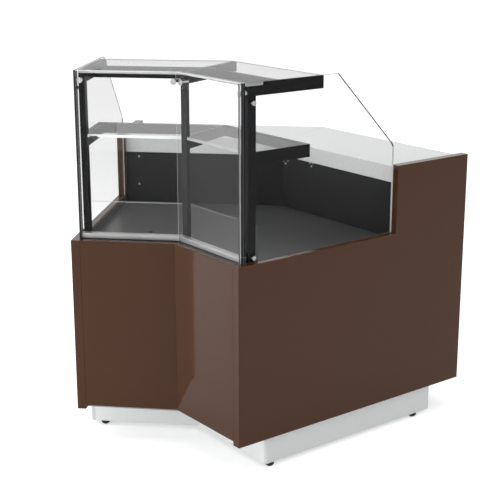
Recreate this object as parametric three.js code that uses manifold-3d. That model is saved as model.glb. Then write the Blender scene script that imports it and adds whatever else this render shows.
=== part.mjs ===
// Refrigerated pastry display case for an inside corner: two wings that meet behind a concave
// front, a cooled well under clear glass shelves, a worktop at the back and the cooling unit below.
// Millimetres, +Z up, the front faces -Y, and the case stands on Z = 0 about its centre.
// Each wing has a frame of its own. There x runs along the wing's front, from the inside corner
// to its end, and y runs back into the case. The left wing is the mirror image of the right one.
import * as THREE from 'three';
import { mergeVertices } from 'three/addons/utils/BufferGeometryUtils.js';
import Module from 'manifold-3d';

// Overall sizes
const wingTurn = THREE.MathUtils.degToRad(22.5); // each front stands back from the X axis by this
const wingLength = 347; // from the inside corner to the outside of the end panel
const caseDepth = 1000; // front to back, square to the wing's front
const bodyHeight = 706; // floor to the top of the front panels
const worktopRise = 221; // worktop above the body
const displayRise = 554; // top of the top shelf above the body
const shelfSpacing = 211; // top of the middle shelf below the top of the top shelf

// Clearances
const fitGap = 0.3; // between pieces that touch
const runningGap = 1; // beside pieces that move
const overrun = 5; // how far a cutter passes the faces that it cuts

// Outer panels
const endPanelThickness = 30;
const endPanelBottom = 108;
const endPanelRise = 11; // above the worktop
const raisedLength = 337; // depth of the raised part at the back
const frontPanelThickness = 23;
const frontPanelBottom = 122;

// Plinth and levelling feet
const plinthLift = 12; // above the floor
const plinthSheet = 2;
const plinthFrontSetback = 124;
const plinthRearSetback = 129;
const plinthEndSetback = 15;
const plinthReturn = 12; // width of the flange folded round each corner
const plinthFlange = 30; // folded inward along the bottom
const footRadius = 15;
const footFace = 10; // radius of its underside
const footShoulder = 6; // height of its sloped edge
const footStemRadius = 6;
const footStemTop = 52;
const footStemClearance = 2; // from the plinth's end
const frontFootInset = 18; // from the plinth's front
const rearFootInset = 70; // from the plinth's rear
const leftFootShift = 37; // of the left front foot, toward the corner
const leftFootAdvance = 10; // of the same foot, toward the front

// Base pan
const panHeight = 15;
const panSheet = 2;
const ribWidth = 3;

// Cooled well
const linerSheet = 2;
const rimDrop = 2; // top of the liner below the body's top
const deckDrop = 27; // deck below the body's top
const deckSheet = 3;
const deckLedge = 14;
const plenumDepth = 124; // under the deck, for the evaporator
const foamThickness = 45;
const backWallSetback = 21.5; // behind the front of the raised end panels
const backWallSheet = 3;
const fingerHoleRadius = 10;
const fingerHoleReach = 131; // from the inside corner line, along the front
const fingerHoleSetback = 138; // behind the deck's front edge
const drainRadius = 10;
const drainLength = 12; // below the foam
const pipeHoleRadius = 16;

// Worktop
const worktopSlab = 30;
const worktopApron = 56; // height of its front face
const apronThickness = 32;
const worktopOverhang = 1.5; // in front of the back wall

// Glass
const paneThickness = 8;
const frontPaneSetback = 1; // behind the front panel
const paneRise = 1; // above the top shelf
const endPaneSetback = 4.5; // behind the front pane
const endPaneTopLength = 376;
const endPaneSlopeDrop = 256; // from its top to the lower end of the slope
const endPaneCornerRadius = 14;
const endPaneRearGap = 1;
const shelfThickness = 10;
const lowPaneThickness = 6;
const lowPaneHeight = 115; // above the well's rim
const wellFrontClearance = 2.5; // from the low pane to the well

// Aluminium profile that holds the front pane
const profileDepth = 20;
const profileHeight = 19; // above the body
const profileFlange = 6;
const sealHeight = 2; // dark joint under the profile's face
const sealDepth = 4;

// Shelf frames
const postWidth = 20;
const postDepth = 30;
const postClearance = 7.7; // behind the profile
const centrePostSetback = 3.5; // behind the line of the end posts
const centrePostDepth = 20;
const topArmLength = 267; // behind the post
const middleArmLength = 214;
const armHeight = 31; // below the glass
const lipWidth = 3; // edge strip outside the shelf glass
const lipStart = 27; // behind the post, on the top arm
const topShelfOverhang = 5; // in front of the post
const middleShelfSetback = 9; // behind the post's front face
const lightDepth = 13;
const topLightSetback = 98; // behind the post

// Clamps that hold the panes to the posts
const frontClampRadius = 9.5;
const endClampRadius = 7.5;
const clampHead = 4;
const clampStem = 4; // radius
const frontClampDrop = 31; // below the top shelf's top
const endClampDrop = 61;
const endClampFoot = 13; // above the body
const clampBarHeight = 10;
const clampBarDepth = 8;
const clampBarHalf = 32;
const centreClampReach = 1; // from the inside corner line to the clamp's axis

// Rear frame and doors
const rearFrameDepth = 20;
const endStileWidth = 30;
const cornerStileWidth = 40;
const bottomRail = 30;
const fasciaHeight = 90;
const doorThickness = 18;
const doorPinRadius = 4;
const doorPinLength = 10;
const pinClearance = 0.3;
const knobRadius = 14;
const knobLength = 18;
const knobNeck = 6; // radius
const knobHead = 8;
const knobFromEdge = 50;
const louvreCount = 12;
const louvreLength = 260;
const louvreHeight = 4;
const louvrePitch = 18;
const louvreLift = 70; // first louvre above the door's lower edge

// Control panel
const controlLength = 200;
const controlHeight = 56;
const controlThickness = 7;
const controlEndGap = 57; // to the end panel
const switchWidth = 16;
const switchHeight = 26;
const switchDepth = 9;
const switchTilt = THREE.MathUtils.degToRad(8);
const switchClearance = 1.2;
const switchSpacing = 34;
const glandRadius = 11;
const glandLength = 18;
const glandNose = 6; // radius

// Cooling unit
const compressorRadius = 92;
const compressorHeight = 205;
const compressorFeet = 12;
const compressorPlate = 4;
const compressorEndGap = 277; // from its axis to the end panel
const compressorGap = 160; // behind it, to the condenser's fan motor
const condenserWidthShare = 1.035; // of its height
const condenserRoom = 92; // above it, for the pipes
const condenserDepth = 50;
const condenserEndGap = 137; // to the end panel
const condenserRearGap = 30; // in front of the door
const finCount = 30;
const finShare = 0.35; // of the fins' pitch that is metal
const finDepth = 10;
const shroudDepth = 34;
const shroudPlate = 4;
const bigFanShare = 0.36; // of the condenser's height that is the fan's radius
const bigFanHub = 28;
const bigFanDepth = 22;
const bigMotorRadius = 36;
const bigMotorLength = 60;
const smallFanHub = 16;
const smallFanDepth = 16;
const smallMotorRadius = 24;
const smallMotorLength = 38;
const bladeCount = 5;
const bladeThickness = 2;
const bladePitch = THREE.MathUtils.degToRad(35);
const motorFoot = 8; // half width of a motor's stand
const fanGap = 1.5; // between a fan and what is round it
const coilWidth = 280;
const coilDepth = 80;
const coilHeadroom = 26; // below the deck
const coilEndGap = 57; // to the end panel
const coilRearGap = 128; // to the well's rear wall
const pipeRadius = 5;
const clipHalf = 2; // half of a pipe clip's thickness
const portRadius = 9; // sockets on the compressor for the pipes
const portHeight = 8; // above its shell
const portSpread = 31; // from its axis
const pipeSides = 8;
const pipeSteps = 30;
const trayWidth = 150;
const trayDepth = 170;
const trayHeight = 45;
const trayWall = 2;

// Roundness
const roundSides = 20;
const cornerSides = 6;

// Levels
const worktopTop = bodyHeight + worktopRise;
const endPanelTop = worktopTop + endPanelRise;
const topShelfTop = bodyHeight + displayRise;
const middleShelfTop = topShelfTop - shelfSpacing;
const rimTop = bodyHeight - rimDrop;
const flangeTop = rimTop - linerSheet - fitGap;
const flangeBottom = flangeTop - profileFlange;
const deckTop = bodyHeight - deckDrop;
const ledgeTop = deckTop - deckSheet - fitGap;
const wellFloor = deckTop - deckSheet - plenumDepth;
const foamTop = wellFloor - linerSheet - fitGap;
const foamBottom = foamTop - foamThickness;
const panTop = endPanelBottom + panHeight;
const unitFloor = panTop + fitGap;
const condenserHeight = foamBottom - unitFloor - condenserRoom;
const condenserWidth = condenserHeight * condenserWidthShare;
const bigFanRadius = condenserHeight * bigFanShare;
const coilHeight = plenumDepth - coilHeadroom;
const smallFanRadius = coilHeight / 2 - fanGap;
const slabUnderside = worktopTop - worktopSlab;
const apronBottom = worktopTop - worktopApron;
const frameTop = slabUnderside - fitGap;

// Places along a wing's depth
const frontPaneFront = frontPanelThickness + frontPaneSetback;
const frontPaneRear = frontPaneFront + paneThickness;
const profileFront = frontPaneRear + fitGap;
const profileRear = profileFront + profileDepth;
const postFront = profileRear + postClearance;
const postRear = postFront + postDepth;
const lowPaneFront = postRear + runningGap;
const lowPaneRear = lowPaneFront + lowPaneThickness;
const wellFront = lowPaneRear + wellFrontClearance;
const raisedStart = caseDepth - raisedLength;
const backWallFront = raisedStart + backWallSetback;
const wellRear = backWallFront + backWallSheet + fitGap;
const foamRear = wellRear + linerSheet + fitGap + foamThickness;
const worktopFront = backWallFront - worktopOverhang;
const rearFrameFront = caseDepth - rearFrameDepth;
const condenserRear = rearFrameFront - condenserRearGap;
const condenserFront = condenserRear - condenserDepth;
const bigFanSetback = condenserFront - shroudDepth / 2;
const bigMotorFront = bigFanSetback - bigFanDepth / 2 - fitGap - bigMotorLength;
const compressorSetback = bigMotorFront - compressorGap - compressorRadius;
const coilSetback = wellRear - coilRearGap - coilDepth;
const topShelfFront = postFront - topShelfOverhang;
const topShelfRear = postRear + topArmLength;
const middleShelfFront = postFront + middleShelfSetback;
const middleShelfRear = postRear + middleArmLength;
const topLightFront = postRear + topLightSetback;

// Places along a wing's front
const endFace = wingLength - endPanelThickness; // inner face of the end panel
const innerEnd = endFace - fitGap;
const compressorReach = innerEnd - compressorEndGap;
const condenserReach = innerEnd - condenserEndGap - condenserWidth;
const controlStart = innerEnd - controlEndGap - controlLength;
const coilReach = innerEnd - coilEndGap - coilWidth;
const endPaneInner = endFace + fitGap;
const endPaneOuter = endPaneInner + paneThickness;
const postOuter = endFace - 2 * fitGap;
const postInner = postOuter - postWidth;
const plinthEnd = wingLength - plinthEndSetback;
const cornerReach = caseDepth; // how far a prism starts beyond the corner before it is mitred

// The case stands about the middle of its outline
const cosTurn = Math.cos(wingTurn);
const sinTurn = Math.sin(wingTurn);
const frontMost = -wingLength * sinTurn;
const rearMost = caseDepth / cosTurn;
const cornerY = -(frontMost + rearMost) / 2; // Y of the inside corner line

const centrePostFront = postFront / cosTurn + centrePostSetback;
const centrePostRear = centrePostFront + centrePostDepth;

// Solids and geometries
const wasm = await Module();
wasm.setup();

function toSolid(geometry) {
  const bare = geometry.index ? geometry.toNonIndexed() : geometry.clone();
  bare.deleteAttribute('normal');
  bare.deleteAttribute('uv');
  const merged = mergeVertices(bare);
  return new wasm.Manifold(new wasm.Mesh({
    numProp: 3,
    vertProperties: new Float32Array(merged.attributes.position.array),
    triVerts: new Uint32Array(merged.index.array),
  }));
}

function toGeometry(solid) {
  const mesh = solid.getMesh();
  const geometry = new THREE.BufferGeometry();
  const corners = new Float32Array(mesh.vertProperties);
  geometry.setAttribute('position', new THREE.BufferAttribute(corners, 3));
  geometry.setIndex(new THREE.BufferAttribute(new Uint32Array(mesh.triVerts), 1));
  return geometry;
}

function join(...geometries) {
  return toGeometry(geometries.map(toSolid).reduce((whole, piece) => whole.add(piece)));
}

function cut(geometry, ...cutters) {
  const solids = cutters.map(toSolid);
  return toGeometry(solids.reduce((whole, cutter) => whole.subtract(cutter), toSolid(geometry)));
}

function mirrored(geometry) {
  const copy = geometry.clone().scale(-1, 1, 1);
  const index = copy.index ?? new THREE.BufferAttribute(
    Uint32Array.from({ length: copy.attributes.position.count }, (_, i) => i), 1);
  const turned = Uint32Array.from(index.array);
  for (let i = 0; i < turned.length; i += 3) {
    [turned[i], turned[i + 1]] = [turned[i + 1], turned[i]];
  }
  copy.setIndex(new THREE.BufferAttribute(turned, 1));
  return copy;
}

function box(from, to) {
  const size = to.map((value, i) => value - from[i]);
  const middle = to.map((value, i) => (value + from[i]) / 2);
  return new THREE.BoxGeometry(...size).translate(...middle);
}

function extrude(outline, depth) {
  const shape = new THREE.Shape(outline.map(([x, y]) => new THREE.Vector2(x, y)));
  return new THREE.ExtrudeGeometry(shape, { depth, bevelEnabled: false, curveSegments: roundSides });
}

// An outline in (depth, height), drawn out along the front
function alongFront(outline, from, to) {
  const turn = new THREE.Matrix4().makeBasis(
    new THREE.Vector3(0, 1, 0), new THREE.Vector3(0, 0, 1), new THREE.Vector3(1, 0, 0));
  return extrude(outline, to - from).applyMatrix4(turn).translate(from, 0, 0);
}

// A cylinder on an axis along x, y or z, by its centre
function rod(axis, radius, length, centre, sides = roundSides) {
  const geometry = new THREE.CylinderGeometry(radius, radius, length, sides);
  if (axis === 'x') geometry.rotateZ(Math.PI / 2);
  if (axis === 'z') geometry.rotateX(Math.PI / 2);
  return geometry.translate(...centre);
}

// The space on the far side of the plane that stands off the corner plane by a distance
function acrossCorner(distance, backTo = 2 * cornerReach) {
  const block = box(
    [-4 * cornerReach, -cornerReach, -cornerReach],
    [distance, backTo, 4 * cornerReach]);
  return block.rotateZ(wingTurn);
}

function mitred(geometry, distance = fitGap / 2) {
  return cut(geometry, acrossCorner(distance));
}

// A wing's solid and its mirror image as one piece that crosses the corner, in the case's frame
function bothWings(geometry) {
  const right = cut(geometry, acrossCorner(0)).rotateZ(-wingTurn);
  return join(right, mirrored(right));
}

const rect = (x0, x1, y0, y1) => [[x0, y0], [x1, y0], [x1, y1], [x0, y1]];

// Materials
const finish = (color, roughness, metalness = 0, opacity = 1) => () => new THREE.MeshStandardMaterial({
  color, roughness, metalness, opacity, transparent: opacity < 1,
});
const brownLacquer = finish(0x5a3d31, 0.25);
const paleSteel = finish(0xdcdedd, 0.45, 0.4);
const blackPaint = finish(0x222222, 0.35);
const darkPaint = finish(0x3a3a3a, 0.5);
const clearGlass = finish(0xeef4f2, 0.05, 0, 0.3);
const aluminium = finish(0xb4b4b4, 0.35, 0.9);
const greyStone = finish(0xbababa, 0.5);
const foam = finish(0xe6d9a8, 0.9);
const zincSteel = finish(0x9a9d9f, 0.5, 0.6);
const copper = finish(0xb87333, 0.35, 1);
const blackRubber = finish(0x151515, 0.8);
const blackPlastic = finish(0x1c1c1e, 0.5);
const redPlastic = finish(0xa02020, 0.4);
const greenPlastic = finish(0x2a7a3a, 0.4);
const satinSteel = finish(0xc8c8c8, 0.3, 1);

// The scene graph
const displayCase = new THREE.Group();
const middle = new THREE.Group();
const rightWing = new THREE.Group();
const leftWing = new THREE.Group();
middle.position.set(0, cornerY, 0);
rightWing.rotation.z = -wingTurn;
leftWing.rotation.z = wingTurn;
middle.add(rightWing, leftWing);
displayCase.add(middle);

function addPiece(parent, name, geometry, material) {
  const mesh = new THREE.Mesh(geometry, material());
  mesh.name = name;
  parent.add(mesh);
  return mesh;
}

function addPair(name, geometry, material) {
  addPiece(rightWing, `${name}_right`, geometry, material);
  addPiece(leftWing, `${name}_left`, mirrored(geometry), material);
}

// Outer panels: a front panel on each wing, and an end panel that steps up beside the worktop
function frontPanel() {
  return mitred(box([-cornerReach, 0, frontPanelBottom], [innerEnd, frontPanelThickness, bodyHeight]));
}

function endPanel() {
  const outline = [
    [0, endPanelBottom], [caseDepth, endPanelBottom], [caseDepth, endPanelTop],
    [raisedStart, endPanelTop], [raisedStart, bodyHeight], [0, bodyHeight],
  ];
  return alongFront(outline, endFace, wingLength);
}

addPair('front_panel', frontPanel(), brownLacquer);
addPair('end_panel', endPanel(), brownLacquer);

// Plinth: a folded sheet in front, and one behind that wraps the ends with a return at each front
// corner. Both have a flange along the bottom, which the levelling feet screw into.
const plinthFront = plinthFrontSetback;
const plinthRear = caseDepth - plinthRearSetback;
const plinthTop = endPanelBottom - fitGap;
const plinthSeam = plinthEnd - plinthReturn;
const flangeEdge = plinthEnd - plinthFlange;
const footEnd = plinthEnd - plinthSheet - footStemClearance - footStemRadius;
const footFront = plinthFront + plinthSheet + frontFootInset;
const footRear = plinthRear - plinthSheet - rearFootInset;
const leftFoot = { x: -(footEnd - leftFootShift), y: footFront - leftFootAdvance };
const centreFoot = (plinthRear - plinthFlange / 2) / cosTurn;

function footHole(x, y) {
  return rod('z', footStemRadius + fitGap, 2 * plinthLift, [x, y, plinthLift], roundSides / 2);
}

function frontPlinth() {
  const sheet = box(
    [-cornerReach, plinthFront, plinthLift],
    [plinthSeam - fitGap, plinthFront + plinthSheet, plinthTop]);
  const flange = box(
    [-cornerReach, plinthFront, plinthLift],
    [flangeEdge - fitGap, plinthFront + plinthFlange, plinthLift + plinthSheet]);
  return cut(bothWings(join(sheet, flange)), footHole(leftFoot.x, leftFoot.y).rotateZ(wingTurn));
}

function rearPlinth() {
  const outer = box([-cornerReach, plinthFront, plinthLift], [plinthEnd, plinthRear, plinthTop]);
  const hollow = box(
    [-cornerReach - overrun, plinthFront + plinthSheet, plinthLift + plinthSheet],
    [plinthEnd - plinthSheet, plinthRear - plinthSheet, plinthTop + overrun]);
  const underside = box(
    [-cornerReach - overrun, plinthFront - overrun, plinthLift - overrun],
    [flangeEdge, plinthRear - plinthFlange, plinthTop]);
  const front = box(
    [-cornerReach - overrun, plinthFront - overrun, plinthLift - overrun],
    [plinthSeam, plinthFront + plinthSheet, plinthTop + overrun]);
  const base = box(
    [flangeEdge, plinthFront + plinthSheet + fitGap, plinthLift],
    [plinthEnd, plinthRear, plinthLift + plinthSheet]);
  const holes = [footFront, footRear].map((y) => footHole(footEnd, y));
  const wing = cut(join(cut(outer, hollow, underside, front), base), ...holes);
  return cut(bothWings(wing), footHole(0, centreFoot));
}

addPiece(middle, 'plinth_front', frontPlinth(), paleSteel);
addPiece(middle, 'plinth_rear', rearPlinth(), paleSteel);

// Base pan: a folded steel tray, open below, with a rib over each run of the plinth
function basePan() {
  const front = frontPanelThickness + fitGap;
  const shell = box([-cornerReach, front, endPanelBottom], [innerEnd, caseDepth, panTop]);
  const hollow = box(
    [-cornerReach - overrun, front + panSheet, endPanelBottom - overrun],
    [innerEnd - panSheet, caseDepth - panSheet, panTop - panSheet]);
  const ribs = [plinthFront, plinthRear - ribWidth].map((start) => box(
    [-cornerReach, start, endPanelBottom], [innerEnd, start + ribWidth, panTop]));
  return bothWings(join(cut(shell, hollow), ...ribs));
}

addPiece(middle, 'base_pan', basePan(), zincSteel);

// Levelling feet: a pad below the plinth's flange with a stem up through it
function levellingFoot() {
  const padTop = plinthLift - fitGap;
  const profile = [
    [0, 0], [footFace, 0], [footRadius, footShoulder], [footRadius, padTop], [footStemRadius, padTop],
    [footStemRadius, footStemTop], [0, footStemTop],
  ].map(([x, y]) => new THREE.Vector2(x, y));
  return new THREE.LatheGeometry(profile, roundSides).rotateX(Math.PI / 2);
}

function addFoot(parent, place, x, y) {
  addPiece(parent, `levelling_foot_${place}`, levellingFoot(), blackRubber).position.set(x, y, 0);
}

addFoot(leftWing, 'front_left', leftFoot.x, leftFoot.y);
addFoot(rightWing, 'front_right', footEnd, footFront);
addFoot(leftWing, 'rear_left', -footEnd, footRear);
addFoot(rightWing, 'rear_right', footEnd, footRear);
addFoot(middle, 'rear_centre', 0, centreFoot);

// Cooled well: foam round a sheet liner, a lift-out deck and a black wall behind the display
const pipeHole = { x: coilReach - pipeHoleRadius * 2, y: coilSetback + coilDepth / 2 };
const drainHole = { x: coilReach, y: coilSetback - coilDepth };

function wellFoam() {
  const front = frontPanelThickness + fitGap;
  const inside = wellFront - linerSheet - fitGap;
  const back = wellRear + linerSheet + fitGap;
  const outline = [
    [front, foamBottom], [foamRear, foamBottom], [foamRear, apronBottom - fitGap],
    [back, apronBottom - fitGap], [back, foamTop], [inside, foamTop],
    [inside, flangeBottom - fitGap], [front, flangeBottom - fitGap],
  ];
  const depth = 2 * foamThickness + 2 * overrun;
  const holes = [
    rod('z', pipeHoleRadius, depth, [pipeHole.x, pipeHole.y, foamTop]),
    rod('z', drainRadius + runningGap, depth, [drainHole.x, drainHole.y, foamTop]),
  ];
  const wing = cut(alongFront(outline, -cornerReach, innerEnd), acrossCorner(0));
  const right = cut(wing, ...holes).rotateZ(-wingTurn);
  return join(right, mirrored(wing.rotateZ(-wingTurn)));
}

function wellLiner() {
  const wall = linerSheet;
  const floor = wellFloor - wall;
  const section = [
    [profileRear + fitGap, rimTop], [wellFront, rimTop], [wellFront, ledgeTop],
    [wellFront + deckLedge, ledgeTop], [wellFront + deckLedge, ledgeTop - wall],
    [wellFront, ledgeTop - wall], [wellFront, wellFloor], [wellRear, wellFloor],
    [wellRear, ledgeTop - wall], [wellRear - deckLedge, ledgeTop - wall],
    [wellRear - deckLedge, ledgeTop], [wellRear, ledgeTop], [wellRear, rimTop],
    [wellRear + wall, rimTop], [wellRear + wall, floor], [wellFront - wall, floor],
    [wellFront - wall, rimTop - wall], [profileRear + fitGap, rimTop - wall],
  ];
  const channel = alongFront(section.reverse(), -cornerReach, innerEnd);
  const endWall = box([innerEnd - wall, wellFront - wall, floor], [innerEnd, wellRear + wall, rimTop]);
  const tub = cut(join(channel, endWall), acrossCorner(0));
  const spoutLength = foamThickness + drainLength + wall;
  const spoutPlace = [drainHole.x, drainHole.y, wellFloor - spoutLength / 2];
  const spout = rod('z', drainRadius, spoutLength, spoutPlace);
  const bore = rod('z', drainRadius - wall, spoutLength + 2 * overrun, spoutPlace);
  const pipeWay = rod('z', pipeHoleRadius, 2 * wall + 2 * overrun, [pipeHole.x, pipeHole.y, wellFloor]);
  const right = cut(join(tub, spout), bore, pipeWay).rotateZ(-wingTurn);
  return join(right, mirrored(tub.clone().rotateZ(-wingTurn)));
}

function displayDeck(holed) {
  const from = wellFront + fitGap;
  const to = wellRear - fitGap;
  const plate = box(
    [-cornerReach, from, deckTop - deckSheet], [innerEnd - linerSheet - fitGap, to, deckTop]);
  const hole = rod('z', fingerHoleRadius, deckSheet + 2 * overrun,
    [fingerHoleReach, from + fingerHoleSetback, deckTop - deckSheet / 2]);
  return mitred(holed ? cut(plate, hole) : plate);
}

function backWall() {
  return bothWings(box(
    [-cornerReach, backWallFront, deckTop + fitGap],
    [innerEnd - linerSheet - fitGap, backWallFront + backWallSheet, apronBottom - fitGap]));
}

addPiece(middle, 'well_insulation', wellFoam(), foam);
addPiece(middle, 'well_liner', wellLiner(), darkPaint);
addPiece(rightWing, 'display_deck_right', displayDeck(false), darkPaint);
addPiece(leftWing, 'display_deck_left', mirrored(displayDeck(true)), darkPaint);
addPiece(middle, 'back_wall', backWall(), blackPaint);

// Worktop: a slab with a deep front edge, between the raised end panels
function worktop() {
  const outline = [
    [worktopFront, apronBottom], [worktopFront + apronThickness, apronBottom],
    [worktopFront + apronThickness, slabUnderside], [caseDepth, slabUnderside],
    [caseDepth, worktopTop], [worktopFront, worktopTop],
  ];
  return mitred(alongFront(outline, -cornerReach, innerEnd));
}

addPair('worktop', worktop(), greyStone);

// Aluminium profile: its flange carries the front pane, and its face stands behind the pane
function glassProfile() {
  const top = bodyHeight + profileHeight;
  const joint = bodyHeight + sealHeight;
  const outline = [
    [frontPaneFront, flangeBottom], [wellFront - linerSheet - fitGap, flangeBottom],
    [wellFront - linerSheet - fitGap, flangeTop], [profileRear, flangeTop], [profileRear, top],
    [profileFront, top], [profileFront, joint], [profileFront + sealDepth, joint],
    [profileFront + sealDepth, flangeTop], [frontPaneFront, flangeTop],
  ];
  return mitred(alongFront(outline, -cornerReach, innerEnd));
}

addPair('glass_profile', glassProfile(), aluminium);

// Panes: the front pane ends beside the end pane, which stands on the end panel's lower part
const postMiddle = (postInner + postOuter) / 2;
const endClampDepth = (postFront + postRear) / 2;
const frontClampHeight = topShelfTop - frontClampDrop;
const endClampHeights = { top: topShelfTop - endClampDrop, bottom: bodyHeight + endClampFoot };

function frontPane() {
  const top = topShelfTop + paneRise;
  return mitred(box(
    [-cornerReach, frontPaneFront, flangeTop + fitGap], [innerEnd, frontPaneRear, top]));
}

function endPane() {
  const front = frontPaneRear + endPaneSetback;
  const rear = raisedStart - endPaneRearGap;
  const top = topShelfTop + paneRise;
  const slopeStart = new THREE.Vector2(front + endPaneTopLength, top);
  const slopeEnd = new THREE.Vector2(rear, top - endPaneSlopeDrop);
  const back = slopeStart.clone().sub(slopeEnd).setLength(endPaneCornerRadius);
  const shape = new THREE.Shape();
  shape.moveTo(front, bodyHeight + fitGap);
  shape.lineTo(rear, bodyHeight + fitGap);
  shape.lineTo(rear, slopeEnd.y - endPaneCornerRadius);
  shape.quadraticCurveTo(rear, slopeEnd.y, rear + back.x, slopeEnd.y + back.y);
  shape.lineTo(slopeStart.x, slopeStart.y);
  shape.lineTo(front, top);
  const outline = shape.getPoints(cornerSides).map((point) => [point.x, point.y]);
  const holes = Object.values(endClampHeights).map((z) => rod(
    'x', clampStem + runningGap, 2 * (paneThickness + overrun), [endPaneOuter, endClampDepth, z]));
  return cut(alongFront(outline, endPaneInner, endPaneOuter), ...holes);
}

function lowPane() {
  return mitred(box(
    [-cornerReach, lowPaneFront, rimTop + fitGap], [innerEnd, lowPaneRear, rimTop + lowPaneHeight]));
}

addPair('front_glass', frontPane(), clearGlass);
addPair('end_glass', endPane(), clearGlass);
addPair('low_glass', lowPane(), clearGlass);

// Shelf frames: a post with two arms at each end of the case and one in the corner
const topArmTop = topShelfTop - shelfThickness - fitGap;
const middleArmTop = middleShelfTop - shelfThickness - fitGap;

function frameOutline(front, rear, middleEnd, topEnd) {
  return [
    [front, rimTop + fitGap], [rear, rimTop + fitGap],
    [rear, middleArmTop - armHeight], [middleEnd, middleArmTop - armHeight],
    [middleEnd, middleArmTop], [rear, middleArmTop],
    [rear, topArmTop - armHeight], [topEnd, topArmTop - armHeight],
    [topEnd, topArmTop], [front, topArmTop],
  ];
}

function endShelfFrame() {
  const outline = frameOutline(postFront, postRear, middleShelfRear, topShelfRear);
  const frame = alongFront(outline, postInner, postOuter);
  const topLip = alongFront(
    rect(postRear + lipStart, topShelfRear, topArmTop - lipWidth, topShelfTop),
    postOuter - lipWidth, postOuter);
  const middleLip = alongFront(
    rect(postRear, middleShelfRear, middleArmTop - lipWidth, middleShelfTop),
    postOuter - lipWidth, postOuter);
  return join(frame, topLip, middleLip);
}

function centreShelfFrame() {
  const outline = frameOutline(
    centrePostFront, centrePostRear, middleShelfRear / cosTurn, topShelfRear / cosTurn);
  return alongFront(outline, -postWidth / 2, postWidth / 2);
}

addPair('shelf_frame', endShelfFrame(), blackPaint);
addPiece(middle, 'shelf_frame_centre', centreShelfFrame(), blackPaint);

// Light housings: black beams between the arms, under the glass
function lightBeam(front, rear, top) {
  const beam = box([-cornerReach, front, top - armHeight], [postInner - fitGap, rear, top]);
  return mitred(beam, postWidth / 2 + fitGap);
}

const topLight = lightBeam(topLightFront, topLightFront + lightDepth, topArmTop);
const middleLight = lightBeam(middleShelfRear - lightDepth, middleShelfRear, middleArmTop);

addPair('top_light', topLight, blackPaint);
addPair('middle_light', middleLight, blackPaint);

// Shelves: clear plates that lie on the arms, inside the edge strips and round the posts
function topShelf() {
  const inside = postOuter - lipWidth - fitGap;
  const notch = postRear + lipStart - fitGap;
  const outline = [
    [-cornerReach, topShelfFront], [postOuter, topShelfFront], [postOuter, notch],
    [inside, notch], [inside, topShelfRear], [-cornerReach, topShelfRear],
  ];
  return mitred(extrude(outline, shelfThickness).translate(0, 0, topShelfTop - shelfThickness));
}

function middleShelf() {
  const inside = postOuter - lipWidth - fitGap;
  const outline = [
    [-cornerReach, middleShelfFront], [postInner - runningGap, middleShelfFront],
    [postInner - runningGap, postRear + runningGap], [inside, postRear + runningGap],
    [inside, middleShelfRear], [-cornerReach, middleShelfRear],
  ];
  const plate = extrude(outline, shelfThickness).translate(0, 0, middleShelfTop - shelfThickness);
  const roundPost = acrossCorner(postWidth / 2 + runningGap, centrePostRear + runningGap);
  return cut(plate, acrossCorner(fitGap / 2), roundPost);
}

addPair('top_shelf', topShelf(), clearGlass);
addPair('middle_shelf', middleShelf(), clearGlass);

// Clamps: satin discs on stems from the posts. The front panes are bonded to the discs behind
// them, and the end panes are drilled, with the discs outside.
function frontClamp(x, stemEnd) {
  const from = frontPaneRear + fitGap;
  const head = rod('y', frontClampRadius, clampHead, [x, from + clampHead / 2, frontClampHeight]);
  const stem = rod('y', clampStem, stemEnd - from, [x, (stemEnd + from) / 2, frontClampHeight]);
  return join(head, stem);
}

function endClamp(z) {
  const from = postOuter + fitGap;
  const start = endPaneOuter + fitGap;
  const to = start + clampHead;
  const head = rod('x', endClampRadius, clampHead, [start + clampHead / 2, endClampDepth, z]);
  const stem = rod('x', clampStem, to - from, [(to + from) / 2, endClampDepth, z]);
  return join(head, stem);
}

function centreClamp() {
  const rear = centrePostFront - fitGap;
  const bar = box(
    [-clampBarHalf, rear - clampBarDepth, frontClampHeight - clampBarHeight / 2],
    [clampBarHalf, rear, frontClampHeight + clampBarHeight / 2]);
  const beyond = box([-caseDepth, rear - clampBarDepth / 2, 0], [caseDepth, caseDepth, 2 * caseDepth]);
  const right = cut(frontClamp(centreClampReach, postRear).rotateZ(-wingTurn), beyond);
  return join(bar, right, mirrored(right));
}

addPair('front_clamp', frontClamp(postMiddle, postFront - fitGap), satinSteel);
addPiece(middle, 'centre_clamp', centreClamp(), satinSteel);
for (const [place, height] of Object.entries(endClampHeights)) {
  addPair(`end_clamp_${place}`, endClamp(height), satinSteel);
}

// Rear frame: stiles, a bottom rail and a fascia under the worktop, with an opening in each wing
const openingStart = -rearFrameFront * Math.tan(wingTurn) + cornerStileWidth;
const openingEnd = innerEnd - endStileWidth;
const openingBottom = unitFloor + bottomRail;
const openingTop = frameTop - fasciaHeight;
const doorAxis = {
  x: openingEnd - runningGap - doorThickness / 2,
  y: (rearFrameFront + caseDepth) / 2,
};

function rearFrame() {
  const slab = box([-cornerReach, rearFrameFront, unitFloor], [innerEnd, caseDepth, frameTop]);
  const opening = box(
    [openingStart, rearFrameFront - overrun, openingBottom],
    [openingEnd, caseDepth + overrun, openingTop]);
  const boreLength = 2 * doorPinLength + 2 * pinClearance;
  const bores = [openingBottom, openingTop].map(
    (z) => rod('z', doorPinRadius + pinClearance, boreLength, [doorAxis.x, doorAxis.y, z]));
  return bothWings(cut(slab, opening, ...bores));
}

addPiece(middle, 'rear_frame', rearFrame(), zincSteel);

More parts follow.
